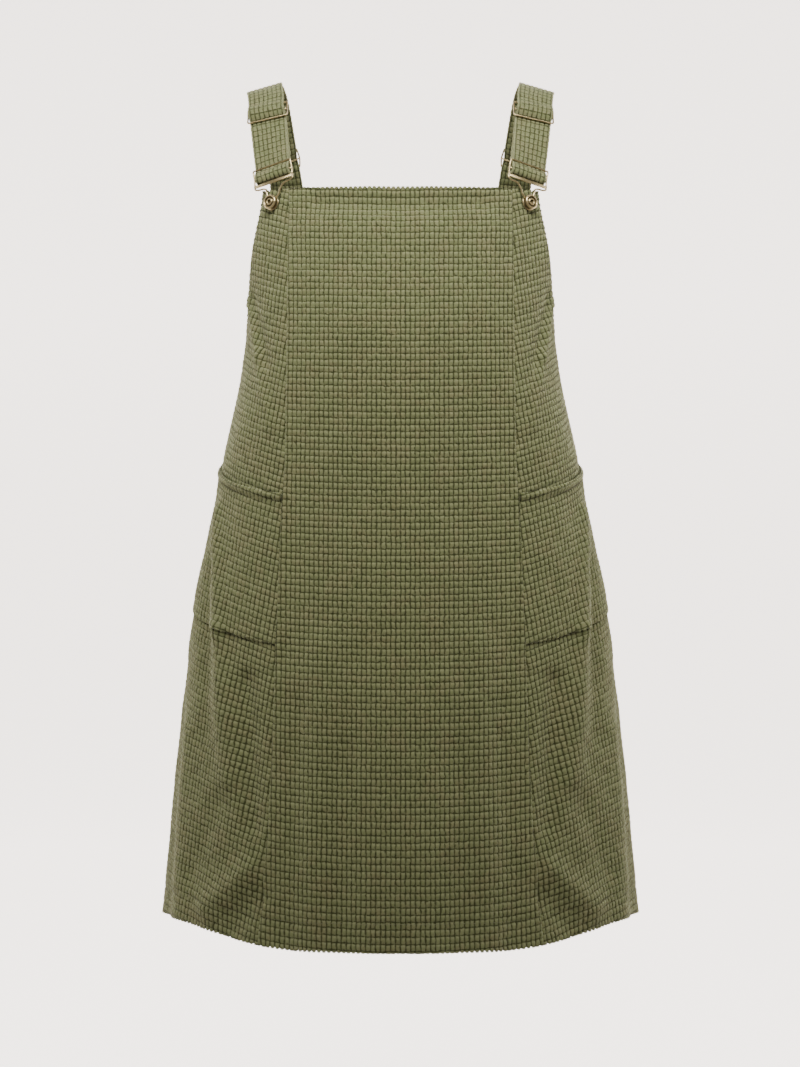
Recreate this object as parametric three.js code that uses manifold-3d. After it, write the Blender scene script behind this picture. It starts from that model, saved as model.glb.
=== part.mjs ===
// Pinafore dress in waffle cord, held in its worn shape.
// Millimetres, +Z up, front towards -Y. The origin lies midway between the undersides of the
// two shoulder straps at their highest point, where a wearer's shoulders hold the dress.
import * as THREE from 'three';
import { mergeVertices } from 'three/addons/utils/BufferGeometryUtils.js';
import Module from 'manifold-3d';

const wasm = await Module();
wasm.setup();

// Cloth and seams
const CLOTH = 2;
const SEAM_GAP = 0.3;
const HEM_FOLD = 27;
const HEM_STEP = 2;

// Levels of the body
const BIB_TOP = -125;
const BACK_TOP = -100;
const UNDERARM = -274;
const HEM = -893;
const HEM_DROP = 16;
const DROP_START = -450;

// Armhole edges, measured forward and backward from the side seam
const FRONT_ARMHOLE = 72;
const BACK_ARMHOLE = 60;
const ARMHOLE_ROUNDNESS = 1.6;

// Pockets: levels of the edges at the princess seam, and how far they climb to the side seam
const POCKET_TOP = -445;
const POCKET_BOTTOM = -600;
const POCKET_CLIMB = 36;
const POCKET_STAND = 0.9;

// Straps
const STRAP_WIDTH = 40;
const STRAP_THICK = 3;
const SHOULDER_X = 150;
const SHOULDER_RADIUS = 50;
const SHOULDER_SLOPE = 16;
const FRONT_LEAN = 65.3;
const BACK_LEAN = 60;
const FRONT_INSET = 0.105;
const BACK_INSET = 0.165;
const STRAP_LAP = 34;

// Brass fittings
const WIRE = 0.9;
const SLIDER_WIDTH = 44;
const SLIDER_PITCH = 11;
const FRONT_SLIDER_S = 64.2;
const BACK_SLIDER_S = 104;
const CLIP_WIDTH = 44;
const CLIP_S = 152;
const PLATE_HEIGHT = 3.4;
const PLATE_THICK = 1.6;
const BUTTON_X = 134.5;
const BUTTON_Z = -138;

// Worn form of the body, one row for each level: half width, depth of the front and of the back,
// how square the front and back halves of the section are, and the princess seam's distance
// from the centre line.
const FORM = [
  { z: -100, half: 167, front: 101, back: 104, frontPower: 3.0, backPower: 3.2, seam: 118 },
  { z: -127, half: 167, front: 105, back: 107, frontPower: 3.0, backPower: 3.1, seam: 118 },
  { z: -160, half: 167, front: 115, back: 111, frontPower: 2.9, backPower: 3.0, seam: 118.5 },
  { z: -200, half: 167, front: 125, back: 114, frontPower: 2.8, backPower: 2.9, seam: 119 },
  { z: -240, half: 167, front: 134, back: 113, frontPower: 2.7, backPower: 2.7, seam: 119.5 },
  { z: -274, half: 168, front: 138, back: 112, frontPower: 2.6, backPower: 2.6, seam: 119.5 },
  { z: -318, half: 174, front: 139, back: 112, frontPower: 2.6, backPower: 2.5, seam: 119.5 },
  { z: -362, half: 184, front: 140, back: 114, frontPower: 2.5, backPower: 2.5, seam: 120 },
  { z: -406, half: 195, front: 141, back: 118, frontPower: 2.4, backPower: 2.4, seam: 121 },
  { z: -450, half: 200, front: 142, back: 123, frontPower: 2.4, backPower: 2.4, seam: 123 },
  { z: -494, half: 209.5, front: 145, back: 130, frontPower: 2.4, backPower: 2.3, seam: 124.5 },
  { z: -538, half: 221, front: 149, back: 138, frontPower: 2.3, backPower: 2.3, seam: 126 },
  { z: -582, half: 228, front: 153, back: 146, frontPower: 2.3, backPower: 2.2, seam: 128 },
  { z: -626, half: 234, front: 157, back: 152, frontPower: 2.3, backPower: 2.2, seam: 130.5 },
  { z: -670, half: 239, front: 162, back: 158, frontPower: 2.3, backPower: 2.2, seam: 131.5 },
  { z: -714, half: 243, front: 167, back: 164, frontPower: 2.2, backPower: 2.2, seam: 133 },
  { z: -758, half: 248, front: 173, back: 170, frontPower: 2.2, backPower: 2.2, seam: 135.5 },
  { z: -802, half: 252, front: 180, back: 177, frontPower: 2.2, backPower: 2.2, seam: 138.5 },
  { z: -846, half: 256, front: 186, back: 183, frontPower: 2.2, backPower: 2.2, seam: 141.5 },
  { z: -893, half: 260, front: 193, back: 190, frontPower: 2.2, backPower: 2.2, seam: 146 },
];

// Largest folds, the same on both sides: a soft ridge (height above 0) or trough (below 0) from
// one point of the cloth to another, each given by its angle round the body and its level.
const FOLDS = [
  { angle: 0, z: -146, toAngle: 34, toZ: -146, width: 16, height: -4 },
  { angle: 84, z: -250, toAngle: 62, toZ: -400, width: 15, height: -3 },
  { angle: 62, z: -430, toAngle: 64, toZ: -760, width: 20, height: 4 },
  { angle: 45, z: -640, toAngle: 47, toZ: -800, width: 22, height: -4 },
  { angle: 50, z: -800, toAngle: 38, toZ: -893, width: 16, height: 4 },
  { angle: 20, z: -560, toAngle: 23, toZ: -893, width: 26, height: 3.5 },
  { angle: 128, z: -520, toAngle: 132, toZ: -893, width: 30, height: 5 },
  { angle: 152, z: -430, toAngle: 150, toZ: -893, width: 34, height: -4 },
  { angle: 104, z: -340, toAngle: 112, toZ: -640, width: 24, height: -4 },
];

const clothMaterial = (color) => (
  new THREE.MeshStandardMaterial({ color, roughness: 0.95, metalness: 0 })
);
const brassMaterial = () => (
  new THREE.MeshStandardMaterial({ color: 0x8a7448, roughness: 0.4, metalness: 1 })
);

const radians = THREE.MathUtils.degToRad;
const lerp = THREE.MathUtils.lerp;
const clamp = THREE.MathUtils.clamp;
const vector = (x, y, z) => new THREE.Vector3(x, y, z);
const along = (origin, direction, distance) => origin.clone().addScaledVector(direction, distance);

// The worn form's row at a level, between the two rows around it.
function formAt(z) {
  const next = clamp(FORM.findIndex((row) => row.z <= z), 1, FORM.length - 1);
  const below = z <= FORM.at(-1).z ? FORM.length - 1 : next;
  const [high, low] = [FORM[below - 1], FORM[below]];
  const share = clamp((high.z - z) / (high.z - low.z), 0, 1);
  return Object.fromEntries(Object.keys(high).map((key) => [key, lerp(high[key], low[key], share)]));
}

// Height of the folds at an angle and level.
function foldHeight(angle, z) {
  const { half, front } = formAt(z);
  const reach = radians(1) * (half + front) / 2;
  const place = new THREE.Vector2(Math.abs(angle) * reach, z);
  let height = 0;
  for (const fold of FOLDS) {
    const start = new THREE.Vector2(fold.angle * reach, fold.z);
    const run = new THREE.Vector2(fold.toAngle * reach, fold.toZ).sub(start);
    const share = clamp(place.clone().sub(start).dot(run) / run.lengthSq(), 0, 1);
    const distance = place.distanceTo(start.clone().addScaledVector(run, share));
    height += fold.height * Math.exp(-((distance / fold.width) ** 2));
  }
  return height;
}

// A point of the worn form. The angle runs round the body in degrees: 0 at the centre front,
// 90 at the wearer's left side seam (+X), 180 at the centre back, and negative on the -X side.
function formPoint(angle, z) {
  const { half, front, back, frontPower, backPower } = formAt(z);
  const isFront = Math.abs(angle) <= 90;
  const power = isFront ? frontPower : backPower;
  const sine = Math.sin(radians(angle));
  const depth = (1 - Math.abs(sine) ** power) ** (1 / power);
  return vector(half * sine, isFront ? -front * depth : back * depth, z);
}

// The outward direction of the worn form.
function formNormal(angle, z) {
  const step = 0.5;
  const round = formPoint(angle + step, z).sub(formPoint(angle - step, z));
  const down = formPoint(angle, z - 2 * step).sub(formPoint(angle, z + 2 * step));
  return down.cross(round).normalize();
}

// Level of the cloth at an angle: rows near the hem dip towards the centre front and back.
function clothLevel(angle, z) {
  const share = clamp((DROP_START - z) / (DROP_START - HEM), 0, 1);
  return z - HEM_DROP * share ** 2 * Math.cos(radians(angle)) ** 2;
}

// A point of the cloth's outer face, moved out by an offset.
function clothPoint(angle, z, offset = 0) {
  const point = formPoint(angle, z);
  point.z = clothLevel(angle, z);
  return point.addScaledVector(formNormal(angle, z), foldHeight(angle, z) + offset);
}

// Angle of the princess seam, and of the armhole's edge, at a level.
const seamAngle = (z) => THREE.MathUtils.radToDeg(Math.asin(formAt(z).seam / formAt(z).half));

function armholeAngle(z, top, reach, isFront) {
  if (z <= UNDERARM) {
    return 90;
  }
  const climb = (z - UNDERARM) / (top - UNDERARM);
  const edge = reach * (1 - (1 - climb) ** 2) ** (1 / ARMHOLE_ROUNDNESS);
  const { front, back, frontPower, backPower } = formAt(z);
  const [depth, power] = isFront ? [front, frontPower] : [back, backPower];
  const sine = (1 - (edge / depth) ** power) ** (1 / power);
  const turn = THREE.MathUtils.radToDeg(Math.asin(sine));
  return isFront ? turn : 180 - turn;
}

// Half a seam gap, as an angle.
const halfGap = (z) => THREE.MathUtils.radToDeg(SEAM_GAP / 2 / formAt(z).front);

// A closed wall between two grids of points, the outer and the inner face.
function wall(outer, inner) {
  const rows = outer.length;
  const columns = outer[0].length;
  const positions = [...outer.flat(), ...inner.flat()].flatMap((point) => point.toArray());
  const faces = [];
  const at = (side, row, column) => side * rows * columns + row * columns + column;
  const quad = (a, b, c, d) => faces.push(a, b, c, a, c, d);
  for (let row = 0; row < rows - 1; row += 1) {
    for (let column = 0; column < columns - 1; column += 1) {
      const [near, far] = [row + 1, column + 1];
      quad(at(0, row, column), at(0, near, column), at(0, near, far), at(0, row, far));
      quad(at(1, row, column), at(1, row, far), at(1, near, far), at(1, near, column));
    }
    quad(at(0, row, 0), at(1, row, 0), at(1, row + 1, 0), at(0, row + 1, 0));
    const last = columns - 1;
    quad(at(0, row, last), at(0, row + 1, last), at(1, row + 1, last), at(1, row, last));
  }
  for (let column = 0; column < columns - 1; column += 1) {
    quad(at(0, 0, column), at(0, 0, column + 1), at(1, 0, column + 1), at(1, 0, column));
    const last = rows - 1;
    quad(at(0, last, column), at(1, last, column), at(1, last, column + 1), at(0, last, column + 1));
  }
  const geometry = new THREE.BufferGeometry();
  geometry.setAttribute('position', new THREE.Float32BufferAttribute(positions, 3));
  geometry.setIndex(faces);
  return geometry;
}

// Levels of a panel's rows: close together round the armhole, then evenly down to the hem fold.
function panelLevels(top) {
  const armhole = [0, 0.025, 0.08, 0.16, 0.28, 0.44, 0.63, 0.82, 1];
  const levels = armhole.map((share) => lerp(UNDERARM, top, share)).reverse();
  const foldTop = HEM + HEM_FOLD;
  const rows = 13;
  for (let row = 1; row <= rows; row += 1) {
    levels.push(lerp(UNDERARM, foldTop, row / rows));
  }
  return [...levels, foldTop - HEM_STEP, HEM];
}

// A panel of the dress between two edges, each an angle for every level. The hem is turned up
// inside, so the wall is two layers thick there.
function panel(top, columns, fromAngle, toAngle) {
  const levels = panelLevels(top);
  const grid = (offset) => levels.map((z) => Array.from({ length: columns + 1 }, (_, column) => {
    const angle = lerp(fromAngle(z), toAngle(z), column / columns);
    return clothPoint(angle, z, offset(z));
  }));
  const thickness = (z) => (z < HEM + HEM_FOLD ? 2 * CLOTH : CLOTH);
  return wall(grid(() => 0), grid((z) => -thickness(z)));
}

function centreFront() {
  const edge = (z) => seamAngle(z) - halfGap(z);
  return panel(BIB_TOP, 12, (z) => -edge(z), edge);
}

function sideFront(side) {
  const inner = (z) => seamAngle(z) + halfGap(z);
  const outer = (z) => armholeAngle(z, BIB_TOP, FRONT_ARMHOLE, true) - halfGap(z);
  return side > 0
    ? panel(BIB_TOP, 8, inner, outer)
    : panel(BIB_TOP, 8, (z) => -outer(z), (z) => -inner(z));
}

function back() {
  const edge = (z) => armholeAngle(z, BACK_TOP, BACK_ARMHOLE, false) + halfGap(z);
  return panel(BACK_TOP, 24, edge, (z) => 360 - edge(z));
}

// A patch pocket, laid on the side front from the princess seam to the side seam.
function pocket(side) {
  const rows = 6;
  const columns = 8;
  const grid = (offset) => Array.from({ length: rows + 1 }, (_, row) => (
    Array.from({ length: columns + 1 }, (__, column) => {
      const across = column / columns;
      const z = lerp(POCKET_TOP, POCKET_BOTTOM, row / rows) + POCKET_CLIMB * across ** 1.4;
      const start = seamAngle(z) + 2 * halfGap(z);
      const angle = lerp(start, 90 - 2 * halfGap(z), across);
      return clothPoint(side * angle, z, offset);
    })
  ));
  const ordered = (points) => (side > 0 ? points : points.map((line) => line.reverse()));
  return wall(ordered(grid(POCKET_STAND + CLOTH)), ordered(grid(POCKET_STAND)));
}

// Share of the front's twist reached at a distance. The strap lies flat through the slider and clip.
const FRONT_TWIST = [
  { distance: 0, share: 0 },
  { distance: 50, share: 0.4 },
  { distance: 82, share: 0.4 },
  { distance: 127, share: 1 },
];
const BACK_TWIST_END = 88;

function twistAt(distance) {
  const next = FRONT_TWIST.findIndex((row) => row.distance > distance);
  if (next < 0) {
    return 1;
  }
  const [before, after] = [FRONT_TWIST[next - 1], FRONT_TWIST[next]];
  const share = (distance - before.distance) / (after.distance - before.distance);
  return lerp(before.share, after.share, share);
}

// Place on the right-hand strap's centre line: distance runs down the front from the shoulder,
// and down the back where it is negative. Returns the point and the strap's three directions.
function strapFrame(distance) {
  const isFront = distance >= 0;
  const run = Math.abs(distance);
  const lean = radians(isFront ? FRONT_LEAN : BACK_LEAN);
  const facing = isFront ? -1 : 1;
  const bend = Math.min(run / SHOULDER_RADIUS, lean);
  const straight = run - bend * SHOULDER_RADIUS;
  const inset = isFront ? FRONT_INSET : BACK_INSET;
  const point = vector(
    SHOULDER_X - inset * run,
    facing * (SHOULDER_RADIUS * Math.sin(bend) + straight * Math.cos(bend)),
    STRAP_THICK / 2 - SHOULDER_RADIUS * (1 - Math.cos(bend)) - straight * Math.sin(bend),
  );
  const down = vector(-inset, facing * Math.cos(bend), -Math.sin(bend)).normalize();
  const slope = radians(SHOULDER_SLOPE);
  const atShoulder = vector(Math.cos(slope), 0, -Math.sin(slope));
  const atEnd = isFront ? vector(0.87, 0.34, -0.185) : vector(0.86, -0.5, -0.22);
  const across = atShoulder.lerp(atEnd, isFront ? twistAt(run) : clamp(run / BACK_TWIST_END, 0, 1));
  across.addScaledVector(down, -across.dot(down)).normalize();
  const out = isFront ? down.clone().cross(across) : across.clone().cross(down);
  return { point, down, across, out };
}

// A point near the strap: along it, out from its middle surface, and across it.
function strapPoint(distance, out, across) {
  const frame = strapFrame(distance);
  return along(along(frame.point, frame.out, out), frame.across, across);
}

// The strap's route down the front, as distance along it and height out from it: over the
// slider's middle bar, behind the clip's top bar, round its middle bar, and back up inside to
// the slider, where the end is turned round the middle bar and sewn.
const FRONT_ROUTE = [
  [14, 0], [28, 0], [42, 0], [46.2, 0], [52.2, 1], [56.2, 3.5], [60.2, 5.4], [64.2, 5.9],
  [67.7, 5.4], [71.5, 2.4], [75.2, -0.3], [82.2, 0], [104, 0], [118, 0], [127, 0], [134, -0.8],
  [138.5, 2.2], [143, 3.6], [147.5, 2.8], [149.6, 0], [148, -2.8], [143, -4.3], [133, -4.5],
  [124, -4.2], [110, -4], [95, -4], [74.2, -4.1], [67.2, -4], [64.2, -3.95], [62.2, -3.1],
  [61.3, -1], [62.2, 1.05], [64.2, 1.9], [66.5, 1.95],
];

// The route down the back passes over the middle bar of the second slider.
const BACK_ROUTE = [
  [0, 0], [-14, 0], [-28, 0], [-42, 0], [-58, 0], [-74, 0], [-90, 0], [-95, 0.8],
  [-100, 2.6], [-104, 3.1], [-108, 2.6], [-112, 1.2],
];

// Point on the back panel's outer face under the strap's end, moved out.
function lapPoint(z, across, offset) {
  const frame = strapFrame(-134);
  const x = frame.point.x - BACK_INSET * (BACK_TOP - z) + across * 0.9;
  const { half } = formAt(z);
  const angle = 180 - THREE.MathUtils.radToDeg(Math.asin(x / half));
  return clothPoint(angle, z, offset);
}

// One continuous strap, from its sewn end on the back panel to its sewn end at the front slider.
function strap(side) {
  const columns = 4;
  const route = [...BACK_ROUTE.toReversed(), ...FRONT_ROUTE];
  const grid = (face) => {
    const lap = [STRAP_LAP, STRAP_LAP / 2, 4, -4].map((drop) => (
      strapRow(columns, (across) => (
        lapPoint(BACK_TOP - drop, across, SEAM_GAP + (1 + face) * STRAP_THICK / 2)
      ))
    ));
    const free = route.map(([distance, out], index) => {
      const before = route[Math.max(index - 1, 0)];
      const after = route[Math.min(index + 1, route.length - 1)];
      const heading = new THREE.Vector2(after[0] - before[0], after[1] - before[1]).normalize();
      const shift = face * STRAP_THICK / 2;
      return strapRow(columns, (across) => (
        strapPoint(distance - heading.y * shift, out + heading.x * shift, across)
      ));
    });
    return [...lap, ...free];
  };
  const ordered = (rows) => (side > 0
    ? rows
    : rows.map((row) => row.map((point) => point.setX(-point.x)).toReversed()));
  return wall(ordered(grid(1)), ordered(grid(-1)));
}

function strapRow(columns, pointAt) {
  return Array.from({ length: columns + 1 }, (_, column) => (
    pointAt(STRAP_WIDTH * (column / columns - 0.5))
  ));
}

// A solid for joining, from any closed geometry.
function solid(geometry) {
  const bare = geometry.clone();
  bare.deleteAttribute('normal');
  bare.deleteAttribute('uv');
  const merged = mergeVertices(bare, 1e-4);
  return new wasm.Manifold(new wasm.Mesh({
    numProp: 3,
    vertProperties: merged.attributes.position.array,
    triVerts: new Uint32Array(merged.index.array),
  }));
}

function joined(geometries) {
  const whole = geometries.map(solid).reduce((sum, piece) => sum.add(piece)).getMesh();
  const geometry = new THREE.BufferGeometry();
  geometry.setAttribute('position', new THREE.BufferAttribute(whole.vertProperties, 3));
  geometry.setIndex(new THREE.BufferAttribute(whole.triVerts, 1));
  return geometry;
}

// A straight wire between two points, with rounded ends that make clean corners.
function rod(from, to, radius) {
  const length = from.distanceTo(to);
  const direction = to.clone().sub(from).normalize();
  const turn = new THREE.Quaternion().setFromUnitVectors(vector(0, 1, 0), direction);
  const middle = from.clone().lerp(to, 0.5);
  const capsule = new THREE.CapsuleGeometry(radius, length, 1, 6);
  return capsule.applyQuaternion(turn).translate(...middle.toArray());
}

// A wire bent smoothly through a list of points.
function bentWire(points, radius, steps) {
  const section = new THREE.Shape();
  section.absarc(0, 0, radius, 0, 2 * Math.PI);
  return new THREE.ExtrudeGeometry(section, {
    steps,
    curveSegments: 3,
    bevelEnabled: false,
    extrudePath: new THREE.CatmullRomCurve3(points),
  });
}

const mirrored = (side, points) => points.map((point) => point.clone().setX(side * point.x));

// A three-bar slider: two side wires, a top and a bottom bar, and a middle bar.
function slider(side, distance, bars) {
  const frame = strapFrame(distance);
  const half = SLIDER_WIDTH / 2;
  const corner = (bar, across) => {
    const point = along(frame.point, frame.down, bar.down);
    return along(along(point, frame.out, bar.out), frame.across, across);
  };
  const [top, middle, bottom] = bars;
  const rods = [
    ...bars.map((bar) => [corner(bar, -half), corner(bar, half)]),
    ...[-half, half].flatMap((across) => [
      [corner(top, across), corner(middle, across)],
      [corner(middle, across), corner(bottom, across)],
    ]),
  ];
  return joined(rods.map((ends) => rod(...mirrored(side, ends), WIRE)));
}

// Bars of the sliders: distance down the strap from the middle bar, and height out of it.
const FRONT_SLIDER_BARS = [
  { down: -SLIDER_PITCH, out: -3.6 },
  { down: 0, out: -1 },
  { down: SLIDER_PITCH, out: 3.2 },
];
const BACK_SLIDER_BARS = [
  { down: -SLIDER_PITCH, out: 3.6 },
  { down: 0, out: 0.2 },
  { down: SLIDER_PITCH, out: 4 },
];

// The button's place on the bib's corner, with the directions of the face it stands on.
function buttonFrame() {
  const { half } = formAt(BUTTON_Z);
  const angle = THREE.MathUtils.radToDeg(Math.asin(BUTTON_X / half));
  const out = formNormal(angle, BUTTON_Z);
  const point = clothPoint(angle, BUTTON_Z, SEAM_GAP);
  const across = vector(0, 0, -1).cross(out).normalize();
  const down = out.clone().cross(across).normalize();
  return { point, out, across, down };
}

// Lower wire of the clip, which narrows to a loop round the button's stem. Each row is a place
// seen from the stem: across, down, and out from the cloth.
const KEYHOLE = [
  [8, -13, 3], [5.9, -8.5, 2.7], [4.3, -3.5, 2.6], [3.9, 0, 2.6], [2.8, 2.8, 2.6], [0, 3.9, 2.6],
  [-2.8, 2.8, 2.6], [-3.9, 0, 2.6], [-4.3, -3.5, 2.6], [-5.9, -8.5, 2.7], [-8, -13, 3],
];

// Dungaree clip: a wire frame that the strap is threaded through, a flat plate bar below it,
// and a keyhole loop of wire that hooks round the button's stem.
function clip(side) {
  const frame = strapFrame(CLIP_S);
  const half = CLIP_WIDTH / 2;
  const at = (down, out, across) => strapPointIn(frame, down, out, across);
  const top = (across) => at(-18, 2.4, across);
  const middle = (across) => at(-8.5, 0, across);
  const plate = (across) => at(1.2, 0.8, across);
  const rods = [
    [top(-half), top(half)],
    [middle(-half), middle(half)],
    ...[-half, half].flatMap((across) => [
      [top(across), middle(across)],
      [middle(across), plate(across)],
    ]),
  ];
  const button = buttonFrame();
  const stem = ([across, down, height]) => (
    along(along(along(button.point, button.across, across), button.down, down), button.out, height)
  );
  const shoulder = (sign) => [
    plate(sign * half), at(4.2, 0.8, sign * (half + 0.4)), at(6, 0.6, sign * (half - 3)),
    at(6.2, 0.4, sign * (half - 9)), at(7.6, 0, sign * (half - 12.5)),
  ];
  const loop = KEYHOLE.map(stem);
  const outerEnd = loop[0].x > loop.at(-1).x ? 1 : -1;
  const wire = [...shoulder(outerEnd), ...loop, ...shoulder(-outerEnd).reverse()];
  const flat = new THREE.BoxGeometry(CLIP_WIDTH + 2 * WIRE, PLATE_HEIGHT, PLATE_THICK);
  const basis = new THREE.Matrix4().makeBasis(
    frame.across,
    frame.out.clone().cross(frame.across),
    frame.out,
  );
  flat.applyMatrix4(basis).translate(...plate(0).toArray());
  const pieces = [
    ...rods.map((ends) => rod(...ends, WIRE)),
    bentWire(wire, WIRE, 48),
    flat,
  ];
  return side > 0 ? joined(pieces) : flipped(joined(pieces));
}

function strapPointIn(frame, down, out, across) {
  return along(along(along(frame.point, frame.down, down), frame.out, out), frame.across, across);
}

// A shape's mirror image across the centre plane, with its faces still pointing out.
function flipped(geometry) {
  const copy = geometry.clone().scale(-1, 1, 1);
  const index = copy.index.array;
  for (let face = 0; face < index.length; face += 3) {
    [index[face], index[face + 1]] = [index[face + 1], index[face]];
  }
  return copy;
}

// Shank button: a base against the cloth, a stem, and a dished cap with an open centre.
function button(side) {
  const profile = [
    [0, 0], [7.2, 0], [7.7, 0.6], [7.1, 1.2], [2.6, 1.3], [2.6, 4.3], [6.6, 4.3], [7.4, 5], [7.4, 6],
    [6.7, 6.8], [5.6, 6.9], [4.8, 6.2], [3.4, 6.2], [2.7, 6.8], [1.9, 6.6], [1.6, 5.2], [0, 5.2],
  ];
  const lathe = new THREE.LatheGeometry(profile.map(([x, y]) => new THREE.Vector2(x, y)), 14);
  const { point, out } = buttonFrame();
  lathe.applyQuaternion(new THREE.Quaternion().setFromUnitVectors(vector(0, 1, 0), out));
  lathe.translate(...point.toArray());
  const whole = joined([lathe]);
  return side > 0 ? whole : flipped(whole);
}

const OLIVE = 0x6b6a48;
const OLIVE_LIGHT = 0x7d7a55;
const OLIVE_DARK = 0x5c5b3c;
const dress = new THREE.Group();

function addPiece(name, geometry, material) {
  const mesh = new THREE.Mesh(geometry, material);
  mesh.name = name;
  dress.add(mesh);
}

addPiece('centre_front', centreFront(), clothMaterial(OLIVE));
addPiece('back', back(), clothMaterial(OLIVE_DARK));
for (const [name, side] of [['right', -1], ['left', 1]]) {
  addPiece(`side_front_${name}`, sideFront(side), clothMaterial(OLIVE));
  addPiece(`pocket_${name}`, pocket(side), clothMaterial(OLIVE_LIGHT));
  addPiece(`strap_${name}`, strap(side), clothMaterial(OLIVE_LIGHT));
  addPiece(`front_slider_${name}`, slider(side, FRONT_SLIDER_S, FRONT_SLIDER_BARS), brassMaterial());
  addPiece(`back_slider_${name}`, slider(side, -BACK_SLIDER_S, BACK_SLIDER_BARS), brassMaterial());
  addPiece(`clip_${name}`, clip(side), brassMaterial());
  addPiece(`button_${name}`, button(side), brassMaterial());
}

export default dress;
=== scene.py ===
import math

import bpy
import numpy as np
from mathutils import Matrix, Vector


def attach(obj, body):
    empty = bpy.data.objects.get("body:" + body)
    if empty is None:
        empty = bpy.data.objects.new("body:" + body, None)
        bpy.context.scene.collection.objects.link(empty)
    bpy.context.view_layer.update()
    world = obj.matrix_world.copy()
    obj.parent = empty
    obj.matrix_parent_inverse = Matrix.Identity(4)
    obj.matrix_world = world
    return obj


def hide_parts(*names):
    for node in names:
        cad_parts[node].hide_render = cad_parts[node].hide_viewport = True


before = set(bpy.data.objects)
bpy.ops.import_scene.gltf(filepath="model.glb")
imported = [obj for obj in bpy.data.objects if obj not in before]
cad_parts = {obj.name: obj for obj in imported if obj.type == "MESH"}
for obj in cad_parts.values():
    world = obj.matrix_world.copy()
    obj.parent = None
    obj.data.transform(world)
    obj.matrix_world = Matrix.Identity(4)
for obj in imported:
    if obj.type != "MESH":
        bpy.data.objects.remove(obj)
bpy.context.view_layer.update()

# ---------------------------------------------------------------------------
# Studio: the camera looks level at the front of the dress from a few paces off,
# in front of a pale sweep of paper, under a large soft box and weak fill lights.
# ---------------------------------------------------------------------------
CAMERA_DISTANCE = 2.2
CAMERA_HEIGHT = -0.487
CAMERA_LENS = 67.5
PAPER_FLOOR = -1.30
PAPER_WALL = 4.6
PAPER_BEND = 1.6
PAPER_REACH = 10.0
PAPER_TOP = 7.0

camera = bpy.data.objects.new("camera", bpy.data.cameras.new("camera"))
camera.data.lens = CAMERA_LENS
camera.data.clip_end = 50
camera.location = (-0.0006, -CAMERA_DISTANCE, CAMERA_HEIGHT)
camera.rotation_euler = (math.pi / 2, 0, 0)
bpy.context.scene.collection.objects.link(camera)
bpy.context.scene.camera = camera


def soft_light(name, place, aim, size, power, colour, spread=180):
    light = bpy.data.lights.new(name, "AREA")
    light.shape = "RECTANGLE"
    light.size, light.size_y = size
    light.energy = power
    light.color = colour
    light.spread = math.radians(spread)
    lamp = bpy.data.objects.new(name, light)
    lamp.location = place
    lamp.rotation_euler = (Vector(aim) - Vector(place)).to_track_quat("-Z", "Y").to_euler()
    bpy.context.scene.collection.objects.link(lamp)


soft_light("key", (0, -0.98, 0.80), (0, -0.10, -0.10), (1.3, 0.4), 12.4, (1.0, 0.99, 0.94), spread=85)
soft_light("side_left", (-1.5, -0.10, 0.0), (0, 0, -0.42), (0.5, 1.5), 9, (1.0, 1.0, 0.97))
soft_light("side_right", (1.5, -0.10, 0.0), (0, 0, -0.42), (0.5, 1.5), 9, (1.0, 1.0, 0.97))
soft_light("rear", (0, 1.3, 0.9), (0, 0, -0.4), (1.8, 0.8), 16, (1.0, 1.0, 1.0))

world = bpy.data.worlds.new("studio")
world.use_nodes = True
world.node_tree.nodes["Background"].inputs["Color"].default_value = (0.93, 0.94, 0.95, 1)
world.node_tree.nodes["Background"].inputs["Strength"].default_value = 0.08
bpy.context.scene.world = world


def mesh_object(name, points, faces):
    mesh = bpy.data.meshes.new(name)
    mesh.from_pydata(np.asarray(points).tolist(), [], faces)
    mesh.update()
    piece = bpy.data.objects.new(name, mesh)
    bpy.context.scene.collection.objects.link(piece)
    mesh.polygons.foreach_set("use_smooth", [True] * len(mesh.polygons))
    return piece


def paper_sweep():
    bend = [(PAPER_WALL - PAPER_BEND * (1 - math.sin(turn)),
             PAPER_FLOOR + PAPER_BEND * (1 - math.cos(turn)))
            for turn in np.linspace(0, math.pi / 2, 24)]
    profile = [(-PAPER_REACH, PAPER_FLOOR), *bend, (PAPER_WALL, PAPER_TOP)]
    points = [(x, y, z) for y, z in profile for x in (-PAPER_REACH, PAPER_REACH)]
    faces = [(2 * i, 2 * i + 1, 2 * i + 3, 2 * i + 2) for i in range(len(profile) - 1)]
    paper = mesh_object("paper_sweep", points, faces)
    finish = bpy.data.materials.new("pale_paper")
    finish.use_nodes = True
    shader = finish.node_tree.nodes["Principled BSDF"]
    shader.inputs["Base Color"].default_value = (0.83, 0.80, 0.775, 1)
    shader.inputs["Roughness"].default_value = 0.95
    shader.inputs["Specular IOR Level"].default_value = 0.1
    shader.inputs["Emission Strength"].default_value = 2.9
    tree = finish.node_tree
    place = tree.nodes.new("ShaderNodeTexCoord")
    parts = tree.nodes.new("ShaderNodeSeparateXYZ")
    glow = tree.nodes.new("ShaderNodeValToRGB")
    glow.color_ramp.elements[0].position = 0.30
    glow.color_ramp.elements[0].color = (0, 0, 0, 1)
    glow.color_ramp.elements[1].position = 0.75
    glow.color_ramp.elements[1].color = (1.0, 0.918, 0.858, 1)
    tree.links.new(place.outputs["Object"], parts.inputs[0])
    tree.links.new(parts.outputs["Y"], glow.inputs[0])
    tree.links.new(glow.outputs["Color"], shader.inputs["Emission Color"])
    paper.data.materials.append(finish)


paper_sweep()

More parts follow.
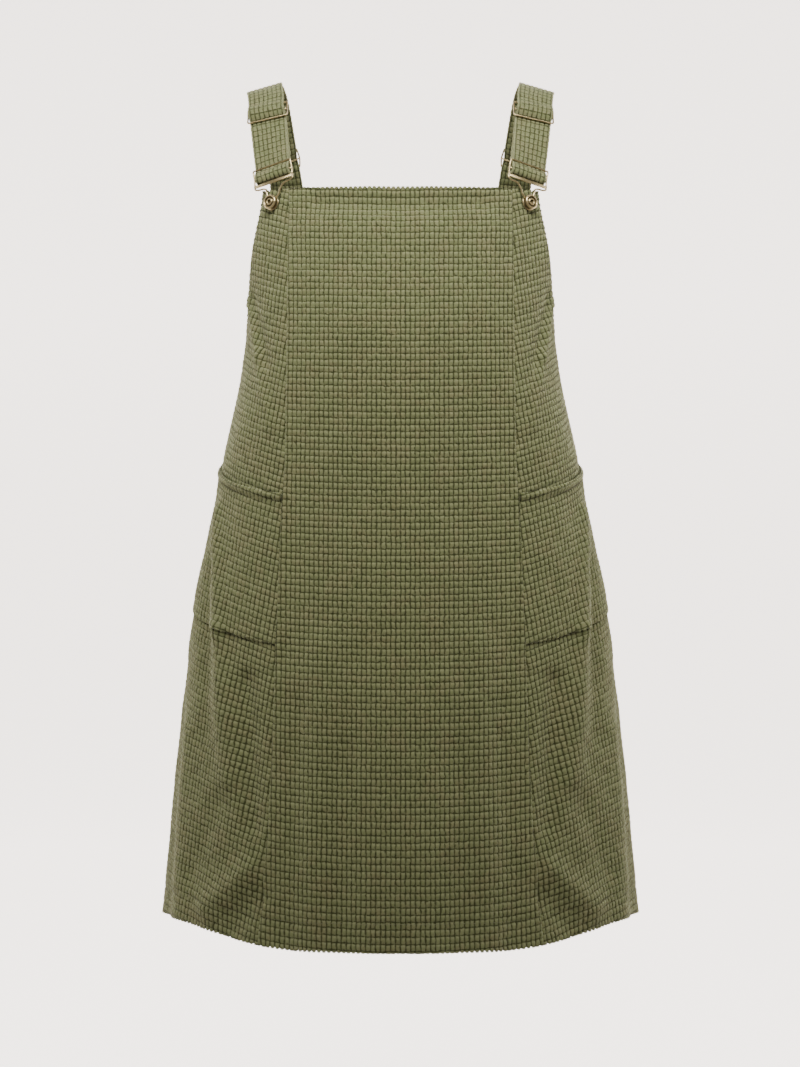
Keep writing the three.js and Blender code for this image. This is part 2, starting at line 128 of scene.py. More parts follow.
# ---------------------------------------------------------------------------
# Centre front: bib and skirt in one piece of waffle cord, cut on the straight grain.
# Its edges are lapped over the side fronts at the princess seams, and its hem is
# turned up and stitched. It lies on the general figure that the dress is shown on.
# ---------------------------------------------------------------------------
# The figure: rounded sections, one row for each level.
# level, half width, front depth, back depth, front and back squareness, seam
FORM_COLUMNS = ("level", "half", "front", "back", "front_power", "back_power", "seam")
FORM = np.array([
    (-0.100, 0.167, 0.101, 0.104, 3.0, 3.2, 0.1180),
    (-0.127, 0.167, 0.105, 0.107, 3.0, 3.1, 0.1180),
    (-0.160, 0.167, 0.115, 0.111, 2.9, 3.0, 0.1185),
    (-0.200, 0.167, 0.125, 0.114, 2.8, 2.9, 0.1190),
    (-0.240, 0.167, 0.134, 0.113, 2.7, 2.7, 0.1195),
    (-0.274, 0.168, 0.138, 0.112, 2.6, 2.6, 0.1195),
    (-0.318, 0.174, 0.139, 0.112, 2.6, 2.5, 0.1195),
    (-0.362, 0.184, 0.140, 0.114, 2.5, 2.5, 0.1200),
    (-0.406, 0.195, 0.141, 0.118, 2.4, 2.4, 0.1210),
    (-0.450, 0.200, 0.142, 0.123, 2.4, 2.4, 0.1230),
    (-0.494, 0.2095, 0.145, 0.130, 2.4, 2.3, 0.1245),
    (-0.538, 0.221, 0.149, 0.138, 2.3, 2.3, 0.1260),
    (-0.582, 0.228, 0.153, 0.146, 2.3, 2.2, 0.1280),
    (-0.626, 0.234, 0.157, 0.152, 2.3, 2.2, 0.1305),
    (-0.670, 0.239, 0.162, 0.158, 2.3, 2.2, 0.1315),
    (-0.714, 0.243, 0.167, 0.164, 2.2, 2.2, 0.1330),
    (-0.758, 0.248, 0.173, 0.170, 2.2, 2.2, 0.1355),
    (-0.802, 0.252, 0.180, 0.177, 2.2, 2.2, 0.1385),
    (-0.846, 0.256, 0.186, 0.183, 2.2, 2.2, 0.1415),
    (-0.893, 0.260, 0.193, 0.190, 2.2, 2.2, 0.1460),
])
BIB_TOP = -0.125
BACK_TOP = -0.100
UNDERARM = -0.274
HEM = -0.893
HEM_DROP = 0.016
HEM_FOLD = 0.027
SIDE_DIP = 0.006
DROP_START = -0.450
FRONT_ARMHOLE = 0.072
BACK_ARMHOLE = 0.060
ARMHOLE_ROUNDNESS = 1.6
BLEND = 0.018

LEVELS = np.arange(-0.96, -0.05, 0.002)
ARC_STEP = 0.0015
ARCS = np.arange(0, 0.80, ARC_STEP)


def smooth_column(name):
    column = FORM[:, FORM_COLUMNS.index(name)]
    rise = (column[-1] - column[-2]) / (FORM[-1, 0] - FORM[-2, 0])
    raw = np.interp(LEVELS, FORM[::-1, 0], column[::-1])
    raw = np.where(LEVELS < FORM[-1, 0], column[-1] + rise * (LEVELS - FORM[-1, 0]), raw)
    reach = np.arange(-20, 21) * 0.002
    weights = np.exp(-((reach / BLEND) ** 2))
    padded = np.pad(raw, 20, mode="edge")
    return np.convolve(padded, weights / weights.sum(), mode="valid")


PROFILE = {name: smooth_column(name) for name in FORM_COLUMNS[1:]}


def form_at(name, level):
    return np.interp(level, LEVELS, PROFILE[name])


def form_point(turn, level):
    """Point of the bare form; turn is 0 at the centre front and pi at the centre back."""
    front = np.abs(turn) <= math.pi / 2
    power = np.where(front, form_at("front_power", level), form_at("back_power", level))
    depth = np.where(front, -form_at("front", level), form_at("back", level))
    sine = np.sin(turn)
    bulge = np.clip(1 - np.abs(sine) ** power, 0, 1) ** (1 / power)
    return np.stack([form_at("half", level) * sine, depth * bulge, level], axis=-1)


def turn_table():
    """Turn reached at each arc length from the centre front, for each level."""
    turns = np.linspace(0, math.pi, 1441)
    table = np.empty((len(LEVELS), len(ARCS)))
    side = np.empty(len(LEVELS))
    whole = np.empty(len(LEVELS))
    for row, level in enumerate(LEVELS):
        ring = form_point(turns, np.full_like(turns, level))
        run = np.concatenate([[0], np.cumsum(np.linalg.norm(np.diff(ring, axis=0), axis=1))])
        table[row] = np.interp(ARCS, run, turns)
        side[row] = run[720]
        whole[row] = run[-1]
    return table, side, whole


TURNS, SIDE_ARC, BACK_ARC = turn_table()


def turn_at(arc, level):
    """Signed turn for a signed arc length from the centre front."""
    row = np.clip((level - LEVELS[0]) / 0.002, 0, len(LEVELS) - 1.001)
    column = np.clip(np.abs(arc) / ARC_STEP, 0, len(ARCS) - 1.001)
    low_row, low_column = row.astype(int), column.astype(int)
    row_share, column_share = row - low_row, column - low_column
    near = TURNS[low_row, low_column] * (1 - column_share) + TURNS[low_row, low_column + 1] * column_share
    far = (TURNS[low_row + 1, low_column] * (1 - column_share)
           + TURNS[low_row + 1, low_column + 1] * column_share)
    return np.sign(arc) * (near * (1 - row_share) + far * row_share)


def side_arc(level):
    return np.interp(level, LEVELS, SIDE_ARC)


def back_arc(level):
    return np.interp(level, LEVELS, BACK_ARC)


def arc_of_turn(turn, level):
    """Arc length from the centre front at a turn between 0 and pi."""
    low = np.zeros_like(level)
    high = np.full_like(level, 0.79)
    for _ in range(30):
        middle = (low + high) / 2
        before = turn_at(middle, level) < turn
        low, high = np.where(before, middle, low), np.where(before, high, middle)
    return (low + high) / 2


# Folds of the worn cloth: a soft ridge or trough from one place to another, each place given by
# its arc length from the centre front and its level. They are mirrored on the other side.
FOLDS = np.array([
    # arc, level, to arc, to level, width, to width, height
    (0.000, -0.143, 0.086, -0.139, 0.013, 0.010, -0.0050),
    (0.000, -0.172, 0.100, -0.168, 0.022, 0.018, 0.0020),
    (0.196, -0.240, 0.167, -0.300, 0.007, 0.007, 0.0034),
    (0.167, -0.300, 0.143, -0.372, 0.007, 0.010, 0.0026),
    (0.184, -0.236, 0.154, -0.305, 0.009, 0.009, -0.0030),
    (0.224, -0.465, 0.204, -0.590, 0.010, 0.011, 0.0052),
    (0.204, -0.590, 0.190, -0.735, 0.011, 0.015, 0.0058),
    (0.228, -0.520, 0.226, -0.700, 0.012, 0.015, -0.0042),
    (0.166, -0.640, 0.158, -0.780, 0.012, 0.012, -0.0060),
    (0.158, -0.822, 0.214, -0.872, 0.011, 0.014, 0.0066),
    (0.146, -0.846, 0.190, -0.892, 0.010, 0.012, -0.0036),
    (0.205, -0.770, 0.240, -0.840, 0.013, 0.016, -0.0036),
    (0.284, -0.452, 0.304, -0.550, 0.022, 0.022, -0.0044),
    (0.292, -0.640, 0.300, -0.893, 0.016, 0.020, -0.0032),
    (0.262, -0.700, 0.270, -0.893, 0.014, 0.020, 0.0036),
    (0.083, -0.600, 0.090, -0.893, 0.016, 0.020, 0.0030),
    (0.106, -0.660, 0.116, -0.893, 0.010, 0.014, -0.0032),
    (0.060, -0.700, 0.064, -0.893, 0.013, 0.016, -0.0026),
    (0.030, -0.640, 0.032, -0.893, 0.016, 0.020, 0.0018),
    (0.415, -0.500, 0.475, -0.893, 0.022, 0.028, 0.0055),
    (0.470, -0.560, 0.535, -0.893, 0.020, 0.026, -0.0050),
    (0.530, -0.480, 0.595, -0.893, 0.022, 0.028, 0.0042),
    (0.600, -0.620, 0.650, -0.893, 0.018, 0.024, -0.0035),
    (0.330, -0.340, 0.360, -0.620, 0.016, 0.022, -0.0040),
    (0.400, -0.150, 0.380, -0.330, 0.016, 0.014, -0.0025),
])


def fold_height(arc, level):
    height = np.zeros_like(level)
    for start_arc, start_level, end_arc, end_level, width, end_width, peak in FOLDS:
        run = np.array([end_arc - start_arc, end_level - start_level])
        aside = np.abs(arc) - start_arc
        down = level - start_level
        share = np.clip((aside * run[0] + down * run[1]) / (run @ run), 0, 1)
        distance = np.hypot(aside - share * run[0], down - share * run[1])
        height += peak * np.exp(-((distance / (width + share * (end_width - width))) ** 2))
    side = np.abs(arc)
    ripple = (np.sin(side * 61 + 1.3 * np.sin(level * 17)) * np.sin(level * 34 + 1.1 * np.sin(side * 23))
              + 0.6 * np.sin(side * 128 + level * 41 + 2.0) * np.sin(level * 83 - side * 37))
    return height + 0.00055 * ripple


def cloth_point(arc, level, lift=0.0):
    turn = turn_at(arc, level)
    point = form_point(turn, level)
    share = np.clip((DROP_START - level) / (DROP_START - HEM), 0, 1)
    aside = np.clip((np.minimum(np.abs(turn), math.pi - np.abs(turn)) - 0.38) / 0.75, 0, 1)
    point[..., 2] -= HEM_DROP * share ** 2 * (0.5 + 0.5 * np.cos(math.pi * aside))
    beside_seam = (np.abs(turn) - math.pi / 2) / 0.25
    point[..., 2] -= SIDE_DIP * share ** 2 * np.exp(-beside_seam ** 2)
    step = 0.001
    ahead = form_point(turn_at(arc + step, level), level) - form_point(turn_at(arc - step, level), level)
    above = (form_point(turn_at(arc, level + step), level + step)
             - form_point(turn_at(arc, level - step), level - step))
    out = np.cross(ahead, above)
    out /= np.linalg.norm(out, axis=-1, keepdims=True)
    return point + out * (fold_height(arc, level) + lift)[..., None]


def cloth_frame(arc, level):
    """Point of the cloth and its outward direction, folds included."""
    step = 0.0008
    point = cloth_point(arc, level)
    ahead = cloth_point(arc + step, level) - cloth_point(arc - step, level)
    above = cloth_point(arc, level + step) - cloth_point(arc, level - step)
    out = np.cross(ahead, above)
    return point, out / np.linalg.norm(out, axis=-1, keepdims=True)


# Waffle cord: cotton with upright cords crossed by grooves into small pillows, and a short
# soft nap. The relief is real; the grooves' darkening follows the weave map, which counts pillows,
# and is partly the cord's own colour and partly painted shade. The upper part of each pillow
# carries a painted highlight, as if lit from above.
PILLOW_WIDTH = 0.0050
PILLOW_HEIGHT = 0.0067
RELIEF = 0.0012
CLOTH = 0.0020
PHASES = (0.0, 0.27, 0.73)


class Shade:
    """A socket that sums, scales and mixes like a number."""

    def __init__(self, tree, socket):
        self.tree = tree
        self.socket = socket

    def node(self, kind, settings, **values):
        made = self.tree.nodes.new(kind)
        for key, value in settings.items():
            setattr(made, key, value)
        for key, value in values.items():
            socket = made.inputs[int(key[1:])] if key[0] == "i" and key[1:].isdigit() else made.inputs[key]
            if isinstance(value, Shade):
                self.tree.links.new(value.socket, socket)
            else:
                socket.default_value = value
        return made

    def output(self, made, name=0):
        return Shade(self.tree, made.outputs[name])

    def maths(self, operation, *values):
        named = {f"i{index}": value for index, value in enumerate(values)}
        return self.output(self.node("ShaderNodeMath", {"operation": operation}, **named))

    def __add__(self, other):
        return self.maths("ADD", self, other)

    def __radd__(self, other):
        return self.maths("ADD", other, self)

    def __sub__(self, other):
        return self.maths("SUBTRACT", self, other)

    def __rsub__(self, other):
        return self.maths("SUBTRACT", other, self)

    def __mul__(self, other):
        return self.maths("MULTIPLY", self, other)

    def __rmul__(self, other):
        return self.maths("MULTIPLY", other, self)

    def rise(self, low, high):
        """0 below low, 1 above high, smooth between."""
        made = self.node("ShaderNodeMapRange", {"interpolation_type": "SMOOTHSTEP", "clamp": True},
                         i0=self, i1=low, i2=high, i3=0.0, i4=1.0)
        return self.output(made)

    def mix(self, first, second):
        """Colour between two colours, by this share."""
        made = self.node("ShaderNodeMix", {"data_type": "RGBA"}, i0=self, i6=first, i7=second)
        return self.output(made, 2)


def new_material(name):
    finish = bpy.data.materials.new(name)
    finish.use_nodes = True
    tree = finish.node_tree
    shader = tree.nodes["Principled BSDF"]
    return finish, shader, Shade(tree, None)


def noise(kit, where, scale, detail=2.0, roughness=0.5):
    made = kit.node("ShaderNodeTexNoise", {}, Vector=where, Scale=scale, Detail=detail, Roughness=roughness)
    return kit.output(made)


OLIVE = (0.122, 0.138, 0.058, 1)
OLIVE_BROWN = (0.138, 0.134, 0.062, 1)
# groove colour: partly the cord's own darker colour, partly painted shade in the grooves
OLIVE_GROOVE_COLOUR_AND_SHADE = (0.030, 0.033, 0.011, 1)
# lighter colour for nap, random pillow tone, the lighter turned strap edges and the painted highlight on
# each pillow's upper part
OLIVE_NAP_AND_HIGHLIGHT = (0.225, 0.228, 0.125, 1)


def waffle_cord():
    finish, shader, kit = new_material("waffle_cord")
    weave = kit.output(kit.node("ShaderNodeUVMap", {"uv_map": "weave"}))
    parts = kit.node("ShaderNodeSeparateXYZ", {}, Vector=weave)
    across, up = kit.output(parts, 0), kit.output(parts, 1)
    place = kit.output(kit.node("ShaderNodeTexCoord", {}), "Object")
    wander = noise(kit, weave, 0.8, 2.0) - 0.5
    sway = noise(kit, place, 95.0, 2.0) - 0.5
    fuzz = noise(kit, place, 2300.0, 3.0, 0.65)
    column = kit.maths("PINGPONG", across + wander * 0.20 + sway * 0.30, 0.5) * PILLOW_WIDTH
    row = kit.maths("PINGPONG", up + wander * 0.18 - sway * 0.20, 0.5) * PILLOW_HEIGHT
    patchy = noise(kit, weave, 1.7, 1.0)
    ragged = (fuzz - 0.5) * 0.0011 + (patchy - 0.5) * 0.0015
    over_column = (column + ragged).rise(-0.0001, 0.00140)
    over_row = (row + ragged).rise(-0.0002, 0.00125)
    turned = kit.output(kit.node("ShaderNodeAttribute", {"attribute_name": "turned_edge"}), "Fac")
    # gap marks the grooves: it shapes the bump and carries the painted groove shade
    gap = (1 - over_column * over_row) * (1 - turned)
    cell = kit.node("ShaderNodeCombineXYZ", {}, X=kit.maths("FLOOR", across), Y=kit.maths("FLOOR", up))
    dice = kit.node("ShaderNodeTexWhiteNoise", {"noise_dimensions": "2D"}, Vector=kit.output(cell))
    lot = kit.output(dice)
    # painted highlight: the upper part of each pillow is lightened as if lit from above
    within = kit.maths("FRACT", up)
    crest = within.rise(0.50, 0.80) * (1 - within.rise(0.84, 0.97))
    cast = noise(kit, place, 46.0, 4.0, 0.7).rise(0.44, 0.66)
    base = cast.mix(OLIVE, OLIVE_BROWN)
    # tone mixes random pillow tone, nap, the lighter turned strap edges and the painted highlight on each
    # pillow's upper part
    tone = lot * 0.30 + fuzz.rise(0.3, 0.75) * 0.45 + crest * 0.55 + turned * 0.6
    base = (tone * 0.55).mix(base, OLIVE_NAP_AND_HIGHLIGHT)
    # grooves darkened: partly the cord's own colour, partly painted shade in the grooves
    base = (gap * 0.94).mix(base, OLIVE_GROOVE_COLOUR_AND_SHADE)
    kit.tree.links.new(base.socket, shader.inputs["Base Color"])
    shader.inputs["Roughness"].default_value = 0.92
    shader.inputs["Specular IOR Level"].default_value = 0.18
    shader.inputs["Sheen Weight"].default_value = 0.32
    shader.inputs["Sheen Roughness"].default_value = 0.45
    shader.inputs["Sheen Tint"].default_value = (0.72, 0.70, 0.48, 1)
    height = (1 - gap) * 0.6 + fuzz * 0.22 + noise(kit, place, 700.0, 2.0) * 0.18
    bump = kit.node("ShaderNodeBump", {}, Strength=0.8, Distance=0.0010, Height=height)
    kit.tree.links.new(bump.outputs[0], shader.inputs["Normal"])
    return finish


WAFFLE = waffle_cord()


def relief_height(phase_across, phase_up):
    """0 in a groove and 1 on a pillow."""
    crest = np.where(np.isclose(phase_across, 0), 0.12, 1.0)
    return np.where(np.isclose(phase_up, 0), 0.0, crest)


def lines_between(low, high, pitch, phases):
    """Weave lines from low to high, and the phase of each within its pillow."""
    first, last = math.floor(low / pitch) - 1, math.ceil(high / pitch) + 1
    count = np.arange(first, last + 1)
    lines = (count[:, None] + np.array(phases)[None, :]) * pitch
    return lines.ravel(), np.tile(phases, len(count))


def crossing(value_at, low, high, count):
    """Where a rising function passes zero, for many lines at once."""
    low = np.full(count, low)
    high = np.full(count, high)
    for _ in range(36):
        middle = (low + high) / 2
        before = value_at(middle) < 0
        low, high = np.where(before, middle, low), np.where(before, high, middle)
    return (low + high) / 2


class Sheet:
    """A sheet of cloth whose mesh follows its weave, cut to the panel's outline.

    chart turns weave lengths (across, up) into arc length and level on the form;
    edges holds the outline: left and right arc for a level, bottom and top level.
    """

    def __init__(self, chart, edges, reach, phases_across, phases_up, scallop=None):
        left, right, bottom, top = edges
        (low_u, high_u), (low_v, high_v) = reach
        u_lines, u_phase = lines_between(low_u, high_u, PILLOW_WIDTH, phases_across)
        v_lines, v_phase = lines_between(low_v, high_v, PILLOW_HEIGHT, phases_up)
        columns, rows = len(u_lines), len(v_lines)
        wide, tall = (low_u - 0.1, high_u + 0.1), (low_v - 0.3, high_v + 0.3)

        def arc_past(line):
            def value(u):
                arc, level = chart(u, v_lines)
                return arc - line(level)
            return crossing(value, *wide, rows)

        u_left, u_right = arc_past(left), arc_past(right)
        v_bottom = crossing(lambda v: chart(u_lines, v)[1] - bottom(chart(u_lines, v)[0]), *tall, columns)
        v_top = crossing(lambda v: chart(u_lines, v)[1] - top(chart(u_lines, v)[0]), *tall, columns)

        ids = np.arange(rows * columns).reshape(rows, columns)
        grid_u, grid_v = np.meshgrid(u_lines, v_lines)
        past_left = grid_u < u_left[:, None]
        past_right = grid_u > u_right[:, None]
        base = rows * columns
        row_ids = np.arange(rows)[:, None]
        column_ids = np.arange(columns)[None, :]
        # side edges, one point for each row
        side_u = np.where(past_left, u_left[:, None], np.where(past_right, u_right[:, None], grid_u))
        ids = np.where(past_left, base + row_ids, ids)
        ids = np.where(past_right, base + rows + row_ids, ids)
        arc, level = chart(side_u, grid_v)
        over = level > top(arc)
        under = level < bottom(arc)
        end_v = np.where(over, v_top[None, :], v_bottom[None, :])
        end_arc, end_level = chart(grid_u, end_v)
        ended = over | under
        ids = np.where(ended, base + 2 * rows + np.where(over, 0, columns) + column_ids, ids)
        off_left = ended & (past_left | (end_arc <= left(end_level)))
        off_right = ended & (past_right | (end_arc >= right(end_level)))
        corner_base = base + 2 * rows + 2 * columns
        ids = np.where(off_left, corner_base + np.where(over, 0, 1), ids)
        ids = np.where(off_right, corner_base + np.where(over, 2, 3), ids)

        total = corner_base + 4
        self.arc, self.level = np.zeros(total), np.zeros(total)
        self.u, self.v = np.zeros(total), np.zeros(total)
        self.relief = np.zeros(total)
        self.edge_phase = np.full(total, -1.0)
        heights = relief_height(u_phase[None, :], v_phase[:, None])
        fill = [(self.arc, np.where(ended, end_arc, arc)), (self.level, np.where(ended, end_level, level)),
                (self.u, np.where(ended, grid_u, side_u)), (self.v, np.where(ended, end_v, grid_v)),
                (self.relief, heights)]
        for target, values in fill:
            target[ids.ravel()] = values.ravel()
        # outline points take the phase of the line that they end
        for side, start in ((0, base), (1, base + rows)):
            self.edge_phase[start:start + rows] = v_phase
            self.relief[start:start + rows] = np.where(np.isclose(v_phase, 0), 0.0, 0.85)
        for start in (base + 2 * rows, base + 2 * rows + columns):
            self.edge_phase[start:start + columns] = u_phase
            self.relief[start:start + columns] = np.where(np.isclose(u_phase, 0), 0.1, 0.85)
        corners = ((left, True), (left, False), (right, True), (right, False))
        for index, (bound, is_top) in enumerate(corners):
            line = top if is_top else bottom
            corner_level = float(line(np.array(0.0)))
            for _ in range(30):
                corner_arc = float(bound(np.array(corner_level)))
                corner_level = float(line(np.array(corner_arc)))
            self.arc[corner_base + index], self.level[corner_base + index] = corner_arc, corner_level
        present = np.isin(np.arange(total), ids)
        self.outline = self._outline(base, rows, columns, corner_base, chart, u_lines, v_lines,
                                     (u_left, u_right), (v_bottom, v_top), edges, present)
        self._fix_corner_weave(corner_base)
        chance = np.abs(np.sin(self.u * 9137.3 + self.v * 7129.7) * 43758.5453) % 1
        other = np.abs(np.sin(self.u * 5281.1 - self.v * 8123.9) * 24634.6345) % 1
        inside = np.arange(total) < base
        self.arc += np.where(inside, (chance - 0.5) * 0.00085, 0)
        self.level += np.where(inside, (other - 0.5) * 0.00095, 0)
        self.relief += np.where(inside, (chance * other - 0.25) * 0.45, 0)
        self._scallop(scallop)
        quads = np.stack([ids[:-1, :-1], ids[:-1, 1:], ids[1:, 1:], ids[1:, :-1]], axis=-1).reshape(-1, 4)
        self.faces = self._clean(quads)

    def _outline(self, base, rows, columns, corner_base, chart, u_lines, v_lines, u_ends, v_ends, edges,
                 present):
        left, right, bottom, top = edges
        sides = {}
        for name, start, ends in (("left", base, u_ends[0]), ("right", base + rows, u_ends[1])):
            arc, level = chart(ends, v_lines)
            kept = (level < top(arc)) & (level > bottom(arc)) & present[start:start + rows]
            sides[name] = [start + row for row in np.nonzero(kept)[0]]
        starts = (("top", base + 2 * rows, v_ends[1]), ("bottom", base + 2 * rows + columns, v_ends[0]))
        for name, start, ends in starts:
            arc, level = chart(u_lines, ends)
            kept = (arc > left(level)) & (arc < right(level)) & present[start:start + columns]
            sides[name] = [start + column for column in np.nonzero(kept)[0]]
        top_left, bottom_left, top_right, bottom_right = (corner_base + index for index in range(4))
        return {
            "bottom": [bottom_left, *sides["bottom"], bottom_right],
            "right": [bottom_right, *sides["right"], top_right],
            "top": [top_right, *sides["top"][::-1], top_left],
            "left": [top_left, *sides["left"][::-1], bottom_left],
        }

    def _fix_corner_weave(self, corner_base):
        for index, (side, end) in enumerate((("top", -2), ("bottom", 1), ("top", 1), ("bottom", -2))):
            near = self.outline[side][end]
            self.u[corner_base + index], self.v[corner_base + index] = self.u[near], self.v[near]

    def _scallop(self, depths):
        """Draws the outline in a little at each groove, so that the pillows stand out along it."""
        if not depths:
            return
        middle_arc = np.mean(self.arc[self.outline["bottom"]])
        for side, depth in depths.items():
            line = np.array(self.outline[side][1:-1])
            draw = np.where(np.isclose(self.edge_phase[line], 0), depth, 0.0)
            if side in ("left", "right"):
                draw = draw * (self.level[line] > UNDERARM)
                self.arc[line] += np.sign(middle_arc - self.arc[line]) * draw
            else:
                self.level[line] += draw * (1 if side == "bottom" else -1)

    def _clean(self, quads):
        faces = []
        for quad in quads.tolist():
            face = [point for place, point in enumerate(quad) if point != quad[place - 1]]
            if len(set(face)) == len(face) and len(face) >= 3:
                faces.append(face)
        return faces


def zip_edges(first, second, first_place, second_place):
    """Triangles between two rows of points that run the same way between the same ends."""
    faces = []
    one, two = 0, 0
    while one < len(first) - 1 or two < len(second) - 1:
        step_one = one < len(first) - 1 and (
            two == len(second) - 1 or first_place[one + 1] <= second_place[two + 1])
        if step_one:
            faces.append((first[one], second[two], first[one + 1]))
            one += 1
        else:
            faces.append((first[one], second[two], second[two + 1]))
            two += 1
    return faces


def edge_places(sheet, side):
    """How far along one side of the outline each point lies, from 0 to 1."""
    line = sheet.outline[side]
    values = sheet.level[line] if side in ("left", "right") else sheet.arc[line]
    places = (values - values[0]) / (values[-1] - values[0])
    return np.maximum.accumulate(places)


def cloth_panel(name, chart, edges, reach, thickness, lift, density=(PHASES, PHASES), scallop=None,
                wrap=lambda arc, level: arc):
    """A wall of waffle cord: relief outside, plain inside, closed all round."""
    outer = Sheet(chart, edges, reach, *density, scallop=scallop)
    left, right, bottom, top = edges
    drawn = {"left": 0.0, "right": 0.0, "bottom": 0.0, "top": 0.0, **(scallop or {})}
    inner_edges = (lambda level: left(level) + drawn["left"] * (level > UNDERARM),
                   lambda level: right(level) - drawn["right"] * (level > UNDERARM),
                   lambda arc: bottom(arc) + drawn["bottom"], lambda arc: top(arc) - drawn["top"])
    inner = Sheet(chart, inner_edges, reach, (0.0,), (0.0,))
    points = []
    for sheet, is_outer in ((outer, True), (inner, False)):
        point, out = cloth_frame(wrap(sheet.arc, sheet.level), sheet.level)
        rise = lift(sheet.arc, sheet.level)
        if is_outer:
            rise = rise + RELIEF * (sheet.relief - 1)
        else:
            rise = rise - thickness(sheet.arc, sheet.level)
        points.append(point + out * rise[:, None])
    shift = len(points[0])
    faces = list(outer.faces) + [[shift + point for point in face[::-1]] for face in inner.faces]
    for side in ("bottom", "right", "top", "left"):
        near, far = outer.outline[side], [shift + point for point in inner.outline[side]]
        zipped = zip_edges(near, far, edge_places(outer, side), edge_places(inner, side))
        faces += [list(face) for face in zipped]
    return finish_sheet(name, np.concatenate(points), faces,
                        np.concatenate([outer.u, inner.u]), np.concatenate([outer.v, inner.v]))


def finish_sheet(name, points, faces, weave_u, weave_v):
    used = np.unique(np.concatenate([np.array(face) for face in faces]))
    place = np.full(len(points), -1)
    place[used] = np.arange(len(used))
    piece = mesh_object(name, points[used], [place[face].tolist() for face in faces])
    weave = piece.data.uv_layers.new(name="weave")
    corners = np.empty(len(piece.data.loops), dtype=int)
    piece.data.loops.foreach_get("vertex_index", corners)
    uv = np.stack([weave_u[used] / PILLOW_WIDTH, weave_v[used] / PILLOW_HEIGHT], axis=-1)
    weave.data.foreach_set("uv", uv[corners].ravel())
    piece.data.materials.append(WAFFLE)
    return piece


def mirrored(piece, name):
    """The same piece for the other side, its faces still pointing out."""
    mesh = piece.data.copy()
    mesh.transform(Matrix.Scale(-1, 4, (1, 0, 0)))
    mesh.flip_normals()
    twin = bpy.data.objects.new(name, mesh)
    bpy.context.scene.collection.objects.link(twin)
    return twin


def declare(piece, node):
    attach(piece, "root")
    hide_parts(node)


SEAM = 0.00003


def seam_arc(level):
    turn = np.arcsin(form_at("seam", level) / form_at("half", level))
    return arc_of_turn(turn, np.asarray(level, dtype=float))


SEAM_ARC = seam_arc(LEVELS)


def princess(level):
    return np.interp(level, LEVELS, SEAM_ARC)


def rolled(distance, depth, width):
    """How far a seamed edge rolls in, at a distance from it."""
    return -depth * np.exp(-((distance / width) ** 2))


def hem_thickness(arc, level):
    return CLOTH + 0.0016 * np.clip((HEM + HEM_FOLD - level) / 0.002, 0, 1)


# Stitching: short raised stitches of matching thread, pulled a little into the cloth.
def unit(direction):
    return direction / np.linalg.norm(direction, axis=-1, keepdims=True)


STITCH_PITCH = 0.0034
STITCH_LENGTH = 0.0026
THREAD_RADIUS = 0.00032


def thread_material():
    finish, shader, kit = new_material("olive_thread")
    place = kit.output(kit.node("ShaderNodeTexCoord", {}), "Object")
    tone = noise(kit, place, 900.0, 2.0).rise(0.35, 0.65)
    colour = tone.mix((0.080, 0.082, 0.034, 1), (0.140, 0.138, 0.066, 1))
    kit.tree.links.new(colour.socket, shader.inputs["Base Color"])
    shader.inputs["Roughness"].default_value = 0.62
    return finish


THREAD = thread_material()


def stitch_tree():
    """Lays one stitch on each point, along its run and lying on the cloth."""
    tree = bpy.data.node_groups.new("stitch_row", "GeometryNodeTree")
    tree.interface.new_socket("Points", in_out="INPUT", socket_type="NodeSocketGeometry")
    for label, value in (("Stitch length", STITCH_LENGTH), ("Thread radius", THREAD_RADIUS)):
        socket = tree.interface.new_socket(label, in_out="INPUT", socket_type="NodeSocketFloat")
        socket.default_value = value
    tree.interface.new_socket("Thread", in_out="INPUT", socket_type="NodeSocketMaterial")
    tree.interface.new_socket("Stitches", in_out="OUTPUT", socket_type="NodeSocketGeometry")

    def node(kind, settings=(), **links):
        made = tree.nodes.new(kind)
        for key, value in dict(settings).items():
            setattr(made, key, value)
        for key, value in links.items():
            socket = made.inputs[key.replace("_", " ")]
            if isinstance(value, bpy.types.NodeSocket):
                tree.links.new(value, socket)
            else:
                socket.default_value = value
        return made

    given = node("NodeGroupInput")
    ball = node("GeometryNodeMeshUVSphere", Segments=6, Rings=4, Radius=1.0)
    long_half = node("ShaderNodeMath", {"operation": "MULTIPLY"})
    tree.links.new(given.outputs["Stitch length"], long_half.inputs[0])
    long_half.inputs[1].default_value = 0.5
    size = node("ShaderNodeCombineXYZ", X=long_half.outputs[0], Y=given.outputs["Thread radius"],
                Z=given.outputs["Thread radius"])
    run = node("GeometryNodeInputNamedAttribute", {"data_type": "FLOAT_VECTOR"}, Name="run")
    out = node("GeometryNodeInputNamedAttribute", {"data_type": "FLOAT_VECTOR"}, Name="out")
    turn = node("FunctionNodeAlignRotationToVector", {"axis": "X"}, Vector=run.outputs["Attribute"])
    lie = node("FunctionNodeAlignRotationToVector", {"axis": "Z", "pivot_axis": "X"},
               Rotation=turn.outputs[0], Vector=out.outputs["Attribute"])
    dots = node("GeometryNodeMeshToPoints", Mesh=given.outputs["Points"])
    laid = node("GeometryNodeInstanceOnPoints", Points=dots.outputs[0], Instance=ball.outputs["Mesh"],
                Rotation=lie.outputs[0], Scale=size.outputs[0])
    whole = node("GeometryNodeRealizeInstances", Geometry=laid.outputs[0])
    smooth = node("GeometryNodeSetShadeSmooth", Geometry=whole.outputs[0])
    dyed = node("GeometryNodeSetMaterial", Geometry=smooth.outputs[0], Material=given.outputs["Thread"])
    end = node("NodeGroupOutput")
    tree.links.new(dyed.outputs[0], end.inputs["Stitches"])
    return tree


STITCH_TREE = stitch_tree()


